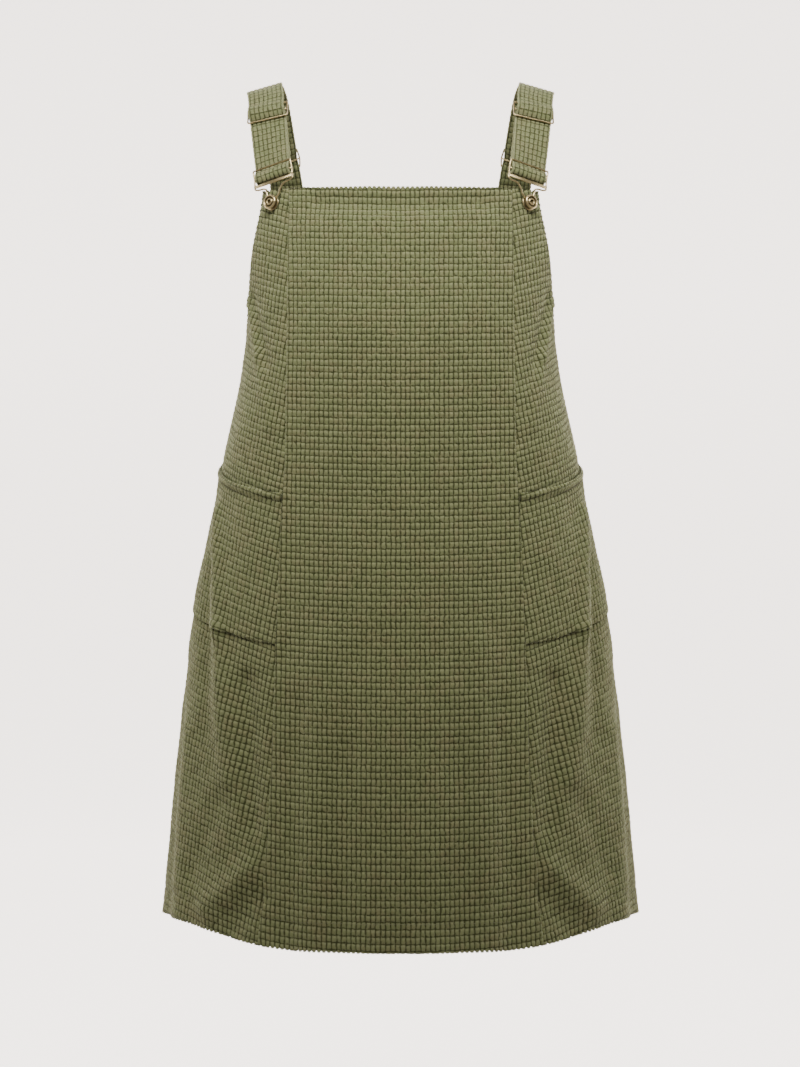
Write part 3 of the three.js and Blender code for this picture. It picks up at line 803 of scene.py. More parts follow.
def stitches(name, lines):
    """Stitches along lines, each a pair of points and outward directions in closely spaced order."""
    spots, runs, outs = [], [], []
    for points, normals in lines:
        steps = np.linalg.norm(np.diff(points, axis=0), axis=1)
        places = np.concatenate([[0], np.cumsum(steps)])
        at = np.arange(STITCH_PITCH / 2, places[-1], STITCH_PITCH)
        spot = np.stack([np.interp(at, places, points[:, axis]) for axis in range(3)], axis=-1)
        ahead = np.stack([np.interp(at + 0.0008, places, points[:, axis]) for axis in range(3)], axis=-1)
        behind = np.stack([np.interp(at - 0.0008, places, points[:, axis]) for axis in range(3)], axis=-1)
        out = np.stack([np.interp(at, places, normals[:, axis]) for axis in range(3)], axis=-1)
        spots.append(spot)
        runs.append(unit(ahead - behind))
        outs.append(unit(out))
    spots = np.concatenate(spots)
    mesh = bpy.data.meshes.new(name)
    mesh.from_pydata(spots.tolist(), [], [])
    for label, values in (("run", np.concatenate(runs)), ("out", np.concatenate(outs))):
        mesh.attributes.new(label, "FLOAT_VECTOR", "POINT").data.foreach_set("vector", values.ravel())
    piece = bpy.data.objects.new(name, mesh)
    bpy.context.scene.collection.objects.link(piece)
    modifier = piece.modifiers.new("stitches", "NODES")
    modifier.node_group = STITCH_TREE
    values = {"Stitch length": STITCH_LENGTH, "Thread radius": THREAD_RADIUS, "Thread": THREAD}
    for socket in STITCH_TREE.interface.items_tree:
        if socket.item_type == "SOCKET" and socket.in_out == "INPUT" and socket.name in values:
            modifier[socket.identifier] = values[socket.name]
    whole = bpy.data.meshes.new_from_object(piece.evaluated_get(bpy.context.evaluated_depsgraph_get()))
    piece.modifiers.clear()
    piece.data = whole
    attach(piece, "root")
    return piece


def cloth_line(arcs, levels, lift):
    point, out = cloth_frame(arcs, levels)
    return point + out * np.broadcast_to(lift, arcs.shape)[:, None], out


def stitch_pair(name, lines):
    """Stitches on the left, and their mirror image on the right."""
    left = stitches(name, lines)
    right = mirrored(left, name.replace("left", "right"))
    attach(right, "root")
    return left, right


def centre_chart(u, v):
    return u, v + 0.26 * u ** 2


def centre_lift(arc, level):
    edge = princess(level) - np.abs(arc)
    ridge = 0.0007 * np.exp(-(((edge - 0.003) / 0.0025) ** 2))
    beside_pocket = np.clip((-0.435 - level) / 0.012, 0, 1) * np.clip((level + 0.612) / 0.012, 0, 1)
    ridge = ridge + 0.0018 * beside_pocket * np.exp(-((edge / 0.009) ** 2))
    top = BIB_TOP - level
    hem_seam = -0.0008 * np.exp(-(((level - HEM - HEM_FOLD) / 0.002) ** 2))
    edge_roll = rolled(edge, 0.0009 - 0.0006 * beside_pocket, 0.0012)
    return ridge + edge_roll + rolled(top, 0.0008, 0.0015) + hem_seam


centre_front = cloth_panel(
    "centre_front_cloth", centre_chart,
    (lambda z: -princess(z) + SEAM, lambda z: princess(z) - SEAM,
     lambda s: np.full_like(s, HEM), lambda s: np.full_like(s, BIB_TOP + 0.0022)),
    ((-0.17, 0.17), (HEM - 0.012, BIB_TOP + 0.004)),
    hem_thickness, centre_lift, scallop={"top": 0.0018, "bottom": 0.0022})
declare(centre_front, "centre_front")


def centre_hem_line():
    level = np.full(400, HEM + HEM_FOLD)
    arcs = np.linspace(-princess(level[0]) + 0.001, princess(level[0]) - 0.001, 400)
    return cloth_line(arcs, level, -0.0006)


centre_hem_stitches = stitches("centre_front_hem_stitches", [centre_hem_line()])

# ---------------------------------------------------------------------------
# Side fronts: one each side, from the princess seam to the side seam, with the
# front half of the armhole. The grain leans out toward the hem.
# ---------------------------------------------------------------------------
SIDE_LEAN = 0.16
SIDE_ROW_RISE = 0.30
SIDE_ROW_RISE_HEM = 0.11


def side_chart(u, v):
    rise = SIDE_ROW_RISE_HEM + (SIDE_ROW_RISE - SIDE_ROW_RISE_HEM) * np.clip((v + 0.90) / 0.30, 0, 1)
    arc = u + SIDE_LEAN * (-0.30 - v)
    return arc, v + rise * (arc - 0.19)


def armhole_turn(level, top, reach, front):
    depth = form_at("front" if front else "back", level)
    power = form_at("front_power" if front else "back_power", level)
    climb = np.clip((level - UNDERARM) / (top - UNDERARM), 0, 1)
    edge = reach * (1 - (1 - climb) ** 2) ** (1 / ARMHOLE_ROUNDNESS)
    sine = (1 - (edge / depth) ** power) ** (1 / power)
    turn = np.arcsin(np.clip(sine, 0, 1))
    return turn if front else math.pi - turn


ARMHOLE_FRONT = arc_of_turn(armhole_turn(LEVELS, BIB_TOP, FRONT_ARMHOLE, True), LEVELS)


def side_edge(level):
    """Side seam below the arm, front armhole above it."""
    return np.where(level < UNDERARM, side_arc(level), np.interp(level, LEVELS, ARMHOLE_FRONT))


def side_lift(arc, level):
    seam = arc - princess(level)
    side = side_edge(level) - arc
    top = BIB_TOP - level
    pucker = 0.0004 * np.sin(level * 230 + 1.7 * np.sin(level * 41)) * np.exp(-seam / 0.012)
    hem_seam = -0.0008 * np.exp(-(((level - HEM - HEM_FOLD) / 0.002) ** 2))
    flare = 0.0026 * np.exp(-((side / 0.022) ** 2)) * np.exp(-(((level + 0.190) / 0.045) ** 2))
    return (rolled(seam, 0.0013, 0.0016) + rolled(side, 0.0010, 0.0014) + rolled(top, 0.0008, 0.0015)
            + pucker + hem_seam + flare)


side_front_left = cloth_panel(
    "side_front_left_cloth", side_chart,
    (lambda z: princess(z) + SEAM, lambda z: side_edge(z) - SEAM,
     lambda s: np.full_like(s, HEM), lambda s: np.full_like(s, BIB_TOP + 0.0022)),
    ((0.02, 0.40), (HEM - 0.06, BIB_TOP + 0.06)),
    hem_thickness, side_lift, scallop={"top": 0.0016, "bottom": 0.0022, "right": 0.0020})
declare(side_front_left, "side_front_left")
side_front_right = mirrored(side_front_left, "side_front_right_cloth")
declare(side_front_right, "side_front_right")


def side_hem_line():
    level = np.full(400, HEM + HEM_FOLD)
    arcs = np.linspace(princess(level[0]) + 0.001, side_arc(level[0]) - 0.001, 400)
    return cloth_line(arcs, level, -0.0006)


side_stitches = stitch_pair("side_front_left_hem_stitches", [side_hem_line()])

# ---------------------------------------------------------------------------
# Patch pockets: one on each side front, caught in the princess seam and the
# side seam. The top is hemmed and open, and stands a little off the dress.
# ---------------------------------------------------------------------------
POCKET_TOP = -0.445
POCKET_BOTTOM = -0.600
POCKET_CLIMB = 0.036
POCKET_STAND = 0.0006
POCKET_HEM = 0.009


def pocket_line(start):
    """Level of the pocket's edge for an arc, rising from start toward the side seam."""
    def line(arc):
        level = np.full_like(np.asarray(arc, dtype=float), start)
        for _ in range(12):
            share = np.clip((arc - princess(level)) / (side_arc(level) - princess(level)), 0, 1)
            level = start + POCKET_CLIMB * share ** 1.25
        return level
    return line


pocket_top_line = pocket_line(POCKET_TOP)
pocket_bottom_line = pocket_line(POCKET_BOTTOM)


def pocket_thickness(arc, level):
    """The cloth is pressed thin where it is caught in the side seam."""
    return CLOTH - 0.0009 * np.exp(-(((side_arc(level) - arc) / 0.014) ** 2))


def pocket_lift(arc, level):
    seam = arc - princess(level)
    side = side_arc(level) - arc
    down = pocket_top_line(arc) - level
    foot = level - pocket_bottom_line(arc)
    share = np.clip(seam / (seam + side), 0, 1)
    gape = 0.0110 * np.exp(-down / 0.030) * share ** 0.6 * (1 - share) ** 2.4
    fade = np.clip(side / 0.05, 0, 1)
    hem_roll = 0.0026 * fade * np.exp(-(((down - 0.0036) / 0.0036) ** 2))
    hem_row = -0.0010 * np.exp(-(((down - POCKET_HEM) / 0.0018) ** 2))
    pucker = 0.0018 * np.sin(seam * 420) * np.exp(-seam / 0.018) * np.exp(-down / 0.02)
    return (POCKET_STAND + pocket_thickness(arc, level) + gape + hem_roll + hem_row + pucker
            + rolled(seam, 0.0003, 0.0012) + rolled(side, 0.0012, 0.0018)
            + rolled(foot, 0.0010, 0.0016) + rolled(down, 0.0009, 0.0014))


pocket_left = cloth_panel(
    "pocket_left_cloth", side_chart,
    (lambda z: princess(z) + 1.5 * SEAM, lambda z: side_arc(z) - 3 * SEAM,
     pocket_bottom_line, pocket_top_line),
    ((0.04, 0.36), (POCKET_BOTTOM - 0.06, POCKET_TOP + 0.06)),
    pocket_thickness, pocket_lift, scallop={"bottom": 0.0016, "top": 0.0012})
declare(pocket_left, "pocket_left")
pocket_right = mirrored(pocket_left, "pocket_right_cloth")
declare(pocket_right, "pocket_right")


def pocket_hem_line():
    arcs = np.linspace(princess(POCKET_TOP) + 0.003, side_arc(POCKET_TOP) - 0.003, 300)
    level = pocket_top_line(arcs) - POCKET_HEM
    return cloth_line(arcs, level, pocket_lift(arcs, level) - 0.0001)


pocket_stitches = stitch_pair("pocket_left_stitches", [pocket_hem_line()])

# ---------------------------------------------------------------------------
# Back: one piece on the straight grain, from side seam to side seam, with the
# back halves of the armholes.
# ---------------------------------------------------------------------------
BACK_PHASES = (0.0, 0.5)
ARMHOLE_BACK = arc_of_turn(armhole_turn(LEVELS, BACK_TOP, BACK_ARMHOLE, False), LEVELS)


def back_edge(level):
    """Distance from the centre back to the side seam or the armhole."""
    arc = np.where(level < UNDERARM, side_arc(level), np.interp(level, LEVELS, ARMHOLE_BACK))
    return back_arc(level) - arc


def back_to_arc(across, level):
    return np.where(across < 0, back_arc(level) + across, across - back_arc(level))


def back_lift(across, level):
    side = back_edge(level) - np.abs(across)
    top = BACK_TOP - level
    hem_seam = -0.0008 * np.exp(-(((level - HEM - HEM_FOLD) / 0.002) ** 2))
    return rolled(side, 0.0010, 0.0014) + rolled(top, 0.0008, 0.0015) + hem_seam


back = cloth_panel(
    "back_cloth", lambda u, v: (u, v + 0.14 * u ** 2),
    (lambda z: -back_edge(z) + SEAM, lambda z: back_edge(z) - SEAM,
     lambda s: np.full_like(s, HEM), lambda s: np.full_like(s, BACK_TOP)),
    ((-0.42, 0.42), (HEM - 0.03, BACK_TOP + 0.01)),
    hem_thickness, back_lift, density=(BACK_PHASES, PHASES), wrap=back_to_arc,
    scallop={"top": 0.0009, "bottom": 0.0012, "left": 0.0008, "right": 0.0008})
declare(back, "back")


def back_hem_line():
    level = np.full(900, HEM + HEM_FOLD)
    across = np.linspace(-back_edge(level[0]) + 0.001, back_edge(level[0]) - 0.001, 900)
    return cloth_line(back_to_arc(across, level), level, -0.0006)


back_hem_stitches = stitches("back_hem_stitches", [back_hem_line()])

# ---------------------------------------------------------------------------
# Straps: doubled waffle cord with turned and stitched edges. Each is sewn to the
# back, runs through a slider, over the shoulder and through the front slider,
# round the clip, and back up inside to the front slider, where it is sewn.
# ---------------------------------------------------------------------------
STRAP_HALF = 0.020
STRAP_THICK = 0.003
STRAP_PITCH = 0.0050
STRAP_BAND = 0.0025
STRAP_RELIEF = 0.0007
SHOULDER_X = 0.150
SHOULDER_RADIUS = 0.050
SHOULDER_SLOPE = math.radians(16)
FRONT_LEAN, BACK_LEAN = math.radians(65.3), math.radians(60)
FRONT_INSET, BACK_INSET = 0.105, 0.165
FRONT_TWIST = ((0, 0.050, 0.082, 0.127), (0, 0.4, 0.4, 1))
BACK_TWIST_END = 0.088
# distance along the strap from the shoulder and height out of it, in millimetres
FRONT_ROUTE = (
    (14, 0), (28, 0), (42, 0), (46.2, 0), (52.2, 1), (56.2, 3.5), (60.2, 5.4), (64.2, 5.9),
    (67.7, 5.4), (71.5, 2.4), (75.2, -0.3), (82.2, 0), (104, 0), (118, 0), (127, 0), (134, -0.8),
    (138.5, 2.2), (143, 3.6), (147.5, 2.8), (149.6, 0), (148, -2.8), (143, -4.3), (133, -4.5),
    (124, -4.2), (110, -4), (95, -4), (74.2, -4.1), (67.2, -4), (64.2, -3.95), (62.2, -3.1),
    (61.3, -1), (62.2, 1.05), (64.2, 1.9), (66.5, 1.95),
)
BACK_ROUTE = (
    (0, 0), (-14, 0), (-28, 0), (-42, 0), (-58, 0), (-74, 0), (-90, 0), (-95, 0.8),
    (-100, 2.6), (-104, 3.1), (-108, 2.6), (-112, 1.2),
)
STRAP_LAP = (-0.004, 0.004, 0.017, 0.034)


def strap_frame(distance):
    """Centre, downward, sideways and outward directions of the left strap at a distance."""
    front = distance >= 0
    run = abs(distance)
    lean, inset, facing = ((FRONT_LEAN, FRONT_INSET, -1) if front else (BACK_LEAN, BACK_INSET, 1))
    bend = min(run / SHOULDER_RADIUS, lean)
    straight = run - bend * SHOULDER_RADIUS
    centre = np.array([
        SHOULDER_X - inset * run,
        facing * (SHOULDER_RADIUS * math.sin(bend) + straight * math.cos(bend)),
        STRAP_THICK / 2 - SHOULDER_RADIUS * (1 - math.cos(bend)) - straight * math.sin(bend)])
    down = unit(np.array([-inset, facing * math.cos(bend), -math.sin(bend)]))
    start = np.array([math.cos(SHOULDER_SLOPE), 0, -math.sin(SHOULDER_SLOPE)])
    end = np.array([0.87, 0.34, -0.185] if front else [0.86, -0.5, -0.22])
    share = np.interp(run, *FRONT_TWIST) if front else min(run / BACK_TWIST_END, 1)
    across = start + (end - start) * share
    across = unit(across - (across @ down) * down)
    out = np.cross(down, across) if front else np.cross(across, down)
    return centre, down, across, out


def strap_place(distance, height, aside):
    centre, _, across, out = strap_frame(distance)
    return centre + out * height + across * aside


def lap_place(drop, aside):
    """Middle of the strap's thickness where it lies on the back."""
    level = BACK_TOP - drop
    x = strap_frame(-0.134)[0][0] - BACK_INSET * drop + aside * 0.9
    turn = np.array([math.pi - math.asin(x / float(form_at("half", level)))])
    level = np.array([level])
    point, out = cloth_frame(arc_of_turn(turn, level), level)
    return (point + out * (0.0004 + STRAP_THICK / 2))[0]


def strap_spine():
    asides = np.linspace(-STRAP_HALF, STRAP_HALF, 5)
    rows = [[lap_place(drop, aside) for aside in asides] for drop in STRAP_LAP[::-1]]
    for distance, height in (*BACK_ROUTE[::-1], *FRONT_ROUTE):
        rows.append([strap_place(distance / 1000, height / 1000, aside) for aside in asides])
    rows = np.array(rows)
    steps = np.linalg.norm(np.diff(rows[:, 2], axis=0), axis=1)
    places = np.concatenate([[0], np.cumsum(steps)])
    fine = np.arange(0, places[-1], 0.0003)
    dense = np.stack([np.interp(fine, places, rows[:, column, axis])
                      for column in range(5) for axis in range(3)], axis=-1)
    reach = np.arange(-14, 15) * 0.0003
    weights = np.exp(-((reach / 0.0016) ** 2))
    padded = np.concatenate([2 * dense[:1] - dense[14:0:-1], dense, 2 * dense[-1:] - dense[-2:-16:-1]])
    soft = np.stack([np.convolve(padded[:, column], weights / weights.sum(), mode="valid")
                     for column in range(dense.shape[1])], axis=-1).reshape(-1, 5, 3)
    return fine, soft


SPINE_PLACES, SPINE = strap_spine()


def on_strap(place, aside):
    """Middle surface of the strap and its outward direction; both inputs are equal in shape."""
    row = np.clip(place / 0.0003, 0, len(SPINE_PLACES) - 1.001)
    column = np.clip((aside + STRAP_HALF) / (STRAP_HALF / 2), 0, 3.999)
    i, j = row.astype(int), column.astype(int)
    a, b = (row - i)[..., None], (column - j)[..., None]
    point = ((SPINE[i, j] * (1 - b) + SPINE[i, j + 1] * b) * (1 - a)
             + (SPINE[i + 1, j] * (1 - b) + SPINE[i + 1, j + 1] * b) * a)
    ahead = unit(SPINE[np.clip(i + 3, 0, len(SPINE) - 1), j] - SPINE[np.clip(i - 3, 0, len(SPINE) - 1), j])
    across = unit(SPINE[i, 4] - SPINE[i, 0])
    return point, unit(np.cross(ahead, across))


def strap():
    inner_half = STRAP_HALF - STRAP_BAND
    cells = round(2 * inner_half / STRAP_PITCH)
    across, kind = [-STRAP_HALF, -STRAP_HALF + 0.0006, -STRAP_HALF + 0.0014], ["rim", "round", "band"]
    for cell in range(cells):
        for phase in PHASES:
            across.append(-inner_half + (cell + phase) * STRAP_PITCH)
            kind.append("groove" if phase == 0 else "pillow")
    across += [inner_half, STRAP_HALF - 0.0014, STRAP_HALF - 0.0006, STRAP_HALF]
    kind += ["groove", "band", "round", "rim"]
    length = SPINE_PLACES[-1]
    rows, phase = lines_between(0, length, PILLOW_HEIGHT, PHASES)
    keep = (rows > 0.0006) & (rows < length - 0.0006)
    rows = np.concatenate([[0.0], rows[keep], [length - 1e-5]])
    phase = np.concatenate([[0.0], phase[keep], [0.0]])
    height = np.empty((len(rows), len(across)))
    for column, what in enumerate(kind):
        groove = np.isclose(phase, 0)
        height[:, column] = {
            "rim": np.full(len(rows), STRAP_THICK * 0.22),
            "round": np.full(len(rows), STRAP_THICK * 0.44),
            "band": np.where(groove, STRAP_THICK / 2 - 0.0001, STRAP_THICK / 2),
            "groove": np.full(len(rows), STRAP_THICK / 2 - STRAP_RELIEF * 0.8),
            "pillow": np.where(groove, STRAP_THICK / 2 - STRAP_RELIEF, STRAP_THICK / 2 + 0.0001),
        }[what]
    height[[0, -1]] = STRAP_THICK * 0.25
    grid_place, grid_aside = np.meshgrid(rows, across, indexing="ij")
    grid_aside[:, [0, -1]] *= np.where(np.isclose(phase, 0), 0.962, 1.0)[:, None]
    point, out = on_strap(grid_place, grid_aside)
    count = len(rows) * len(across)
    points = np.concatenate([(point + out * height[..., None]).reshape(-1, 3),
                             (point - out * height[..., None]).reshape(-1, 3)])
    ids = np.arange(count).reshape(len(rows), len(across))
    quads = np.stack([ids[:-1, :-1], ids[1:, :-1], ids[1:, 1:], ids[:-1, 1:]], axis=-1).reshape(-1, 4)
    faces = quads.tolist() + (quads[:, ::-1] + count).tolist()
    for line in (ids[0, ::-1], ids[:, 0], ids[-1], ids[::-1, -1]):
        faces += [[a, b, b + count, a + count] for a, b in zip(line[:-1].tolist(), line[1:].tolist())]
    weave_u = np.tile((grid_aside.ravel() + inner_half) / STRAP_PITCH * PILLOW_WIDTH, 2)
    piece = finish_sheet("strap_left_cloth", points, faces, weave_u, np.tile(grid_place.ravel(), 2))
    smooth = piece.data.attributes.new("turned_edge", "FLOAT", "POINT")
    band = np.isin(kind, ("rim", "round", "band")).astype(float)
    smooth.data.foreach_set("value", np.tile(np.tile(band, len(rows)), 2))
    return piece


strap_left = strap()
declare(strap_left, "strap_left")
strap_right = mirrored(strap_left, "strap_right_cloth")
declare(strap_right, "strap_right")


def strap_edge_line(aside, side, start, end):
    places = np.linspace(start, end, 700)
    point, out = on_strap(places, np.full_like(places, aside))
    return point + side * out * (STRAP_THICK / 2), side * out


def lap_box():
    """Rectangle of stitches where the strap's end is sewn to the back."""
    low, high, half = 0.005, 0.030, STRAP_HALF - STRAP_BAND - 0.001
    corners = [(low, -half), (low, half), (high, half), (high, -half), (low, -half)]
    lines = []
    for (start, from_aside), (end, to_aside) in zip(corners, corners[1:]):
        places = np.linspace(start, end, 80)
        asides = np.linspace(from_aside, to_aside, 80)
        point, out = on_strap(places, asides)
        lines.append((point + out * (STRAP_THICK / 2), out))
    return lines


strap_end = SPINE_PLACES[-1]
STRAP_EDGE = STRAP_HALF - 0.0019
strap_edges = [strap_edge_line(aside, side, 0.002, strap_end - 0.002)
               for aside in (-STRAP_EDGE, STRAP_EDGE) for side in (-1, 1)]
strap_stitches = stitch_pair("strap_left_stitches", strap_edges + lap_box())

# ---------------------------------------------------------------------------
# Sliders: bent wire frames of antique brass with a middle bar, one at the front
# and one at the back of each strap. The strap is threaded round their bars.
# ---------------------------------------------------------------------------
WIRE = 0.0009
SLIDER_HALF = 0.022
SLIDER_PITCH = 0.011
FRONT_SLIDER_AT = 0.0642
BACK_SLIDER_AT = -0.104
FRONT_SLIDER_BARS = ((-SLIDER_PITCH, -0.0036), (0, -0.0010), (SLIDER_PITCH, 0.0032))
BACK_SLIDER_BARS = ((-SLIDER_PITCH, 0.0036), (0, 0.0002), (SLIDER_PITCH, 0.0040))


def antique_brass():
    finish, shader, kit = new_material("antique_brass")
    place = kit.output(kit.node("ShaderNodeTexCoord", {}), "Object")
    cloud = noise(kit, place, 260.0, 4.0, 0.6)
    speck = noise(kit, place, 1500.0, 3.0, 0.6)
    recess = kit.output(kit.node("ShaderNodeAttribute", {"attribute_name": "recess"}), "Fac")
    tarnish = kit.maths("MAXIMUM", (cloud * 0.5 + speck * 0.5).rise(0.44, 0.68) * 0.8, recess)
    colour = tarnish.mix((0.50, 0.40, 0.215, 1), (0.085, 0.066, 0.032, 1))
    kit.tree.links.new(colour.socket, shader.inputs["Base Color"])
    shader.inputs["Metallic"].default_value = 1.0
    kit.tree.links.new((0.26 + tarnish * 0.26 + speck * 0.08).socket, shader.inputs["Roughness"])
    bump = kit.node("ShaderNodeBump", {}, Strength=0.25, Distance=0.00012, Height=speck * 0.6 + cloud * 0.4)
    kit.tree.links.new(bump.outputs[0], shader.inputs["Normal"])
    return finish


BRASS = antique_brass()


def rounded_path(points, radius, closed=False):
    """The same path with its corners rounded."""
    points = [np.asarray(point) for point in points]
    count = len(points)
    path = [] if closed else [points[0]]
    for place in range(count) if closed else range(1, count - 1):
        before, corner, after = points[place - 1], points[place], points[(place + 1) % count]
        near = min(radius, np.linalg.norm(before - corner) * 0.45, np.linalg.norm(after - corner) * 0.45)
        start, end = corner + unit(before - corner) * near, corner + unit(after - corner) * near
        for share in np.linspace(0, 1, 6):
            path.append(start * (1 - share) ** 2 + 2 * corner * share * (1 - share) + end * share ** 2)
    if not closed:
        path.append(points[-1])
    return np.array(path)


def tube(path, radius, facing, closed=False, sides=12):
    """Points and faces of a round wire along a path that lies roughly square to facing."""
    path = np.asarray(path)
    ahead = np.roll(path, -1, axis=0) - np.roll(path, 1, axis=0)
    if not closed:
        ahead[0], ahead[-1] = path[1] - path[0], path[-1] - path[-2]
    ahead = unit(ahead)
    first = unit(facing - (ahead @ facing)[:, None] * ahead)
    second = np.cross(ahead, first)
    turns = np.linspace(0, 2 * math.pi, sides, endpoint=False)
    rings = (path[:, None] + radius * (np.cos(turns)[None, :, None] * first[:, None]
                                       + np.sin(turns)[None, :, None] * second[:, None]))
    count = len(path)
    faces = []
    for ring in range(count if closed else count - 1):
        low, high = ring * sides, (ring + 1) % count * sides
        faces += [[low + i, low + (i + 1) % sides, high + (i + 1) % sides, high + i] for i in range(sides)]
    points = rings.reshape(-1, 3)
    if not closed:
        ends = np.array([path[0] - ahead[0] * radius * 0.6, path[-1] + ahead[-1] * radius * 0.6])
        tip = len(points)
        last = (count - 1) * sides
        faces += [[(i + 1) % sides, i, tip] for i in range(sides)]
        faces += [[last + i, last + (i + 1) % sides, tip + 1] for i in range(sides)]
        points = np.concatenate([points, ends])
    return points, faces


def metal_piece(name, parts):
    points, faces = [], []
    shift = 0
    for part_points, part_faces in parts:
        points.append(part_points)
        faces += [[shift + point for point in face] for face in part_faces]
        shift += len(part_points)
    piece = mesh_object(name, np.concatenate(points), faces)
    piece.data.materials.append(BRASS)
    return piece


def both_sides(piece, node):
    declare(piece, node)
    twin = mirrored(piece, piece.name.replace("left", "right"))
    declare(twin, node.replace("left", "right"))


def slider(name, distance, bars):
    centre, down, across, out = strap_frame(distance)

    def corner(bar, aside):
        return centre + down * bar[0] + out * bar[1] + across * aside

    top, middle, bottom = bars
    frame_points = [corner(top, -SLIDER_HALF), corner(top, SLIDER_HALF), corner(middle, SLIDER_HALF),
                    corner(bottom, SLIDER_HALF), corner(bottom, -SLIDER_HALF), corner(middle, -SLIDER_HALF)]
    rim = tube(rounded_path(frame_points, 0.0022, closed=True), WIRE, out, closed=True)
    bar = tube(np.linspace(corner(middle, -SLIDER_HALF), corner(middle, SLIDER_HALF), 8), WIRE, out)
    return metal_piece(name, [rim, bar])


both_sides(slider("front_slider_left_wire", FRONT_SLIDER_AT, FRONT_SLIDER_BARS), "front_slider_left")
both_sides(slider("back_slider_left_wire", BACK_SLIDER_AT, BACK_SLIDER_BARS), "back_slider_left")

# ---------------------------------------------------------------------------
# Shank buttons: antique brass, a flanged base riveted through the bib's corner,
# a stem, and a dished cap with a raised ring round an open centre.
# ---------------------------------------------------------------------------
BUTTON_X = 0.1345
BUTTON_LEVEL = -0.138
BUTTON_SPREAD = 1.05
BUTTON_PROFILE = (
    (0, 0), (7.0, 0), (7.5, 0.25), (7.7, 0.6), (7.5, 1.0), (7.1, 1.2), (6.2, 1.25), (2.9, 1.3), (2.6, 1.6),
    (2.6, 4.0), (2.9, 4.3), (6.4, 4.3), (7.0, 4.5), (7.4, 4.9), (7.5, 5.4), (7.4, 5.9), (7.1, 6.4),
    (6.7, 6.8), (6.2, 6.95), (5.8, 6.8), (5.5, 6.3), (5.2, 5.6), (4.6, 5.25), (4.0, 5.4), (3.7, 6.0),
    (3.4, 6.5), (2.9, 6.75), (2.4, 6.7), (2.05, 6.3), (1.85, 5.5), (1.7, 4.9), (0, 4.8),
)


def button_frame():
    level = np.array([BUTTON_LEVEL])
    turn = np.arcsin(BUTTON_X / form_at("half", level))
    point, out = cloth_frame(arc_of_turn(turn, level), level)
    across = unit(np.cross([0, 0, -1], out[0]))
    return point[0] + out[0] * 0.0003, out[0], across, np.cross(out[0], across)


def button(name, sides=48):
    place, out, across, down = button_frame()
    turns = np.linspace(0, 2 * math.pi, sides, endpoint=False)
    points = [place + out * BUTTON_PROFILE[0][1] / 1000]
    for radius, height in BUTTON_PROFILE[1:-1]:
        for turn in turns:
            spoke = across * math.cos(turn) + down * math.sin(turn)
            points.append(place + (spoke * radius * BUTTON_SPREAD + out * height) / 1000)
    points.append(place + out * BUTTON_PROFILE[-1][1] / 1000)
    rings = len(BUTTON_PROFILE) - 2
    faces = [[0, 1 + i, 1 + (i + 1) % sides] for i in range(sides)]
    for ring in range(rings - 1):
        low, high = 1 + ring * sides, 1 + (ring + 1) * sides
        faces += [[low + i, high + i, high + (i + 1) % sides, low + (i + 1) % sides] for i in range(sides)]
    last = 1 + (rings - 1) * sides
    faces += [[last + i, len(points) - 1, last + (i + 1) % sides] for i in range(sides)]
    piece = metal_piece(name, [(np.array(points), faces)])
    deep = [0.0] + [0.0 if radius > 5.6 and height > 4.4 or 2.3 < radius < 3.5 and height > 6.3 else 1.0
                    for radius, height in BUTTON_PROFILE[1:-1] for _ in range(sides)] + [1.0]
    deep = [0.25 if place < 1 + 6 * sides else value for place, value in enumerate(deep)]
    piece.data.attributes.new("recess", "FLOAT", "POINT").data.foreach_set("value", deep)
    return piece


both_sides(button("button_left_cap"), "button_left")

# ---------------------------------------------------------------------------
# Dungaree clips: a wire frame that the strap is threaded through, a flat plate
# bar below it, and a keyhole loop of wire that hooks round the button's stem.
# ---------------------------------------------------------------------------
CLIP_AT = 0.152
CLIP_HALF = 0.022
PLATE_HEIGHT = 0.0034
PLATE_THICK = 0.0016
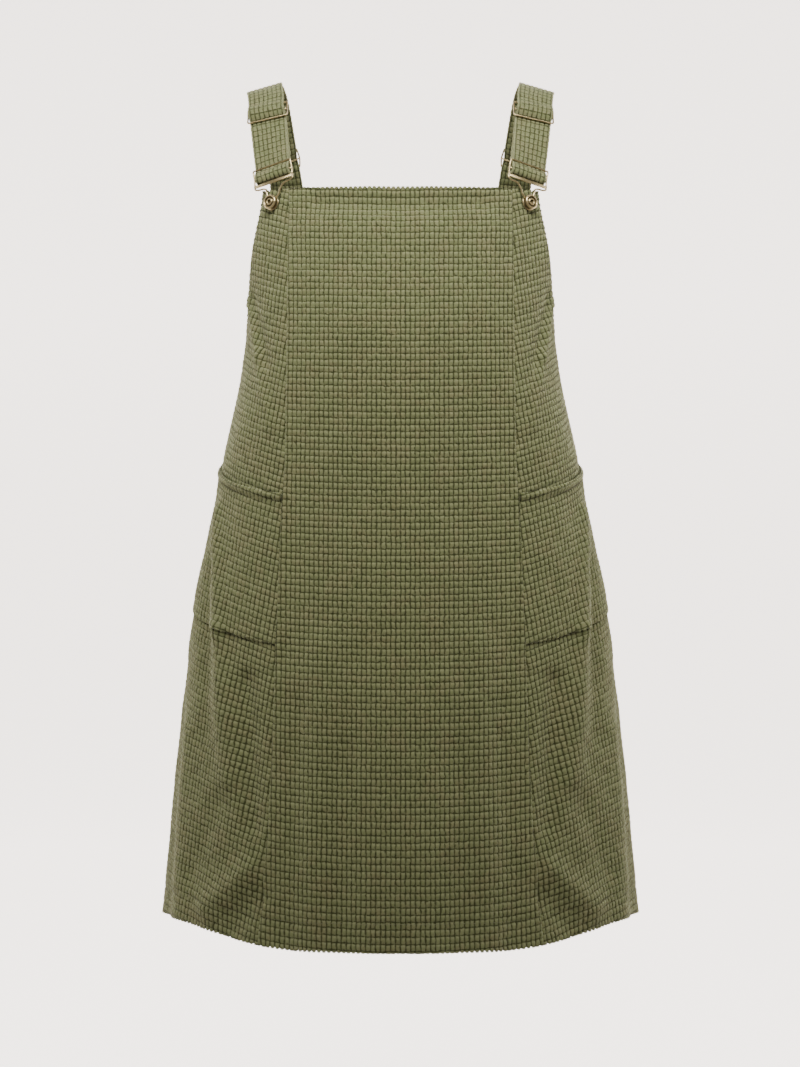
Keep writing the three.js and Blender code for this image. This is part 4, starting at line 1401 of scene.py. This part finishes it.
# across, down and out from the button's stem, in millimetres
KEYHOLE = (
    (10, -14, 3), (9.2, -8.5, 2.8), (5.6, -4.6, 2.6), (3.9, 0, 2.6), (2.8, 2.8, 2.6), (0, 3.9, 2.6),
    (-2.8, 2.8, 2.6), (-3.9, 0, 2.6), (-4.3, -3.5, 2.6), (-5.9, -8.5, 2.7), (-8, -13, 3),
)


def plate_bar(centre, across, down, out):
    """A flat bar with rounded edges, lying across the strap."""
    section = rounded_path([down * y * PLATE_HEIGHT / 2 + out * z * PLATE_THICK / 2
                            for y, z in ((-1, -1), (1, -1), (1, 1), (-1, 1))], 0.0006, closed=True)
    half = CLIP_HALF + WIRE
    stations = ((-half, 0.75), (-half + 0.0004, 1), (half - 0.0004, 1), (half, 0.75))
    rings = np.array([centre + across * aside + section * scale for aside, scale in stations])
    sides = len(section)
    faces = [[ring * sides + i, (ring + 1) * sides + i, (ring + 1) * sides + (i + 1) % sides,
              ring * sides + (i + 1) % sides] for ring in range(3) for i in range(sides)]
    faces += [list(range(sides)), list(range(4 * sides - 1, 3 * sides - 1, -1))]
    return rings.reshape(-1, 3), faces


def clip(name):
    centre, down, across, out = strap_frame(CLIP_AT)

    def at(drop, height, aside):
        return centre + down * drop / 1000 + out * height / 1000 + across * aside / 1000

    half = CLIP_HALF * 1000
    side_wire = [at(1.2, 0.8, -half), at(-8.5, 0, -half), at(-18, 2.4, -half), at(-18, 2.4, half),
                 at(-8.5, 0, half), at(1.2, 0.8, half)]
    middle = np.linspace(at(-8.5, 0, -half), at(-8.5, 0, half), 6)
    place, face_out, face_across, face_down = button_frame()
    loop = [place + (face_across * a + face_down * d + face_out * h) / 1000 for a, d, h in KEYHOLE]
    outer = 1 if loop[0][0] > loop[-1][0] else -1

    def shoulder(sign):
        return [at(1.2, 0.8, sign * half), at(4.2, 0.8, sign * (half + 0.4)), at(6, 0.6, sign * (half - 3)),
                at(6.2, 0.4, sign * (half - 9)), at(7.6, 0, sign * (half - 12.5))]

    hook = [*shoulder(outer), *loop, *shoulder(-outer)[::-1]]
    return metal_piece(name, [
        tube(rounded_path(side_wire, 0.0016), WIRE, out), tube(middle, WIRE, out),
        tube(rounded_path(hook, 0.0022), WIRE, face_out), plate_bar(at(1.2, 0.8, 0), across, down, out)])


both_sides(clip("clip_left_wire"), "clip_left")
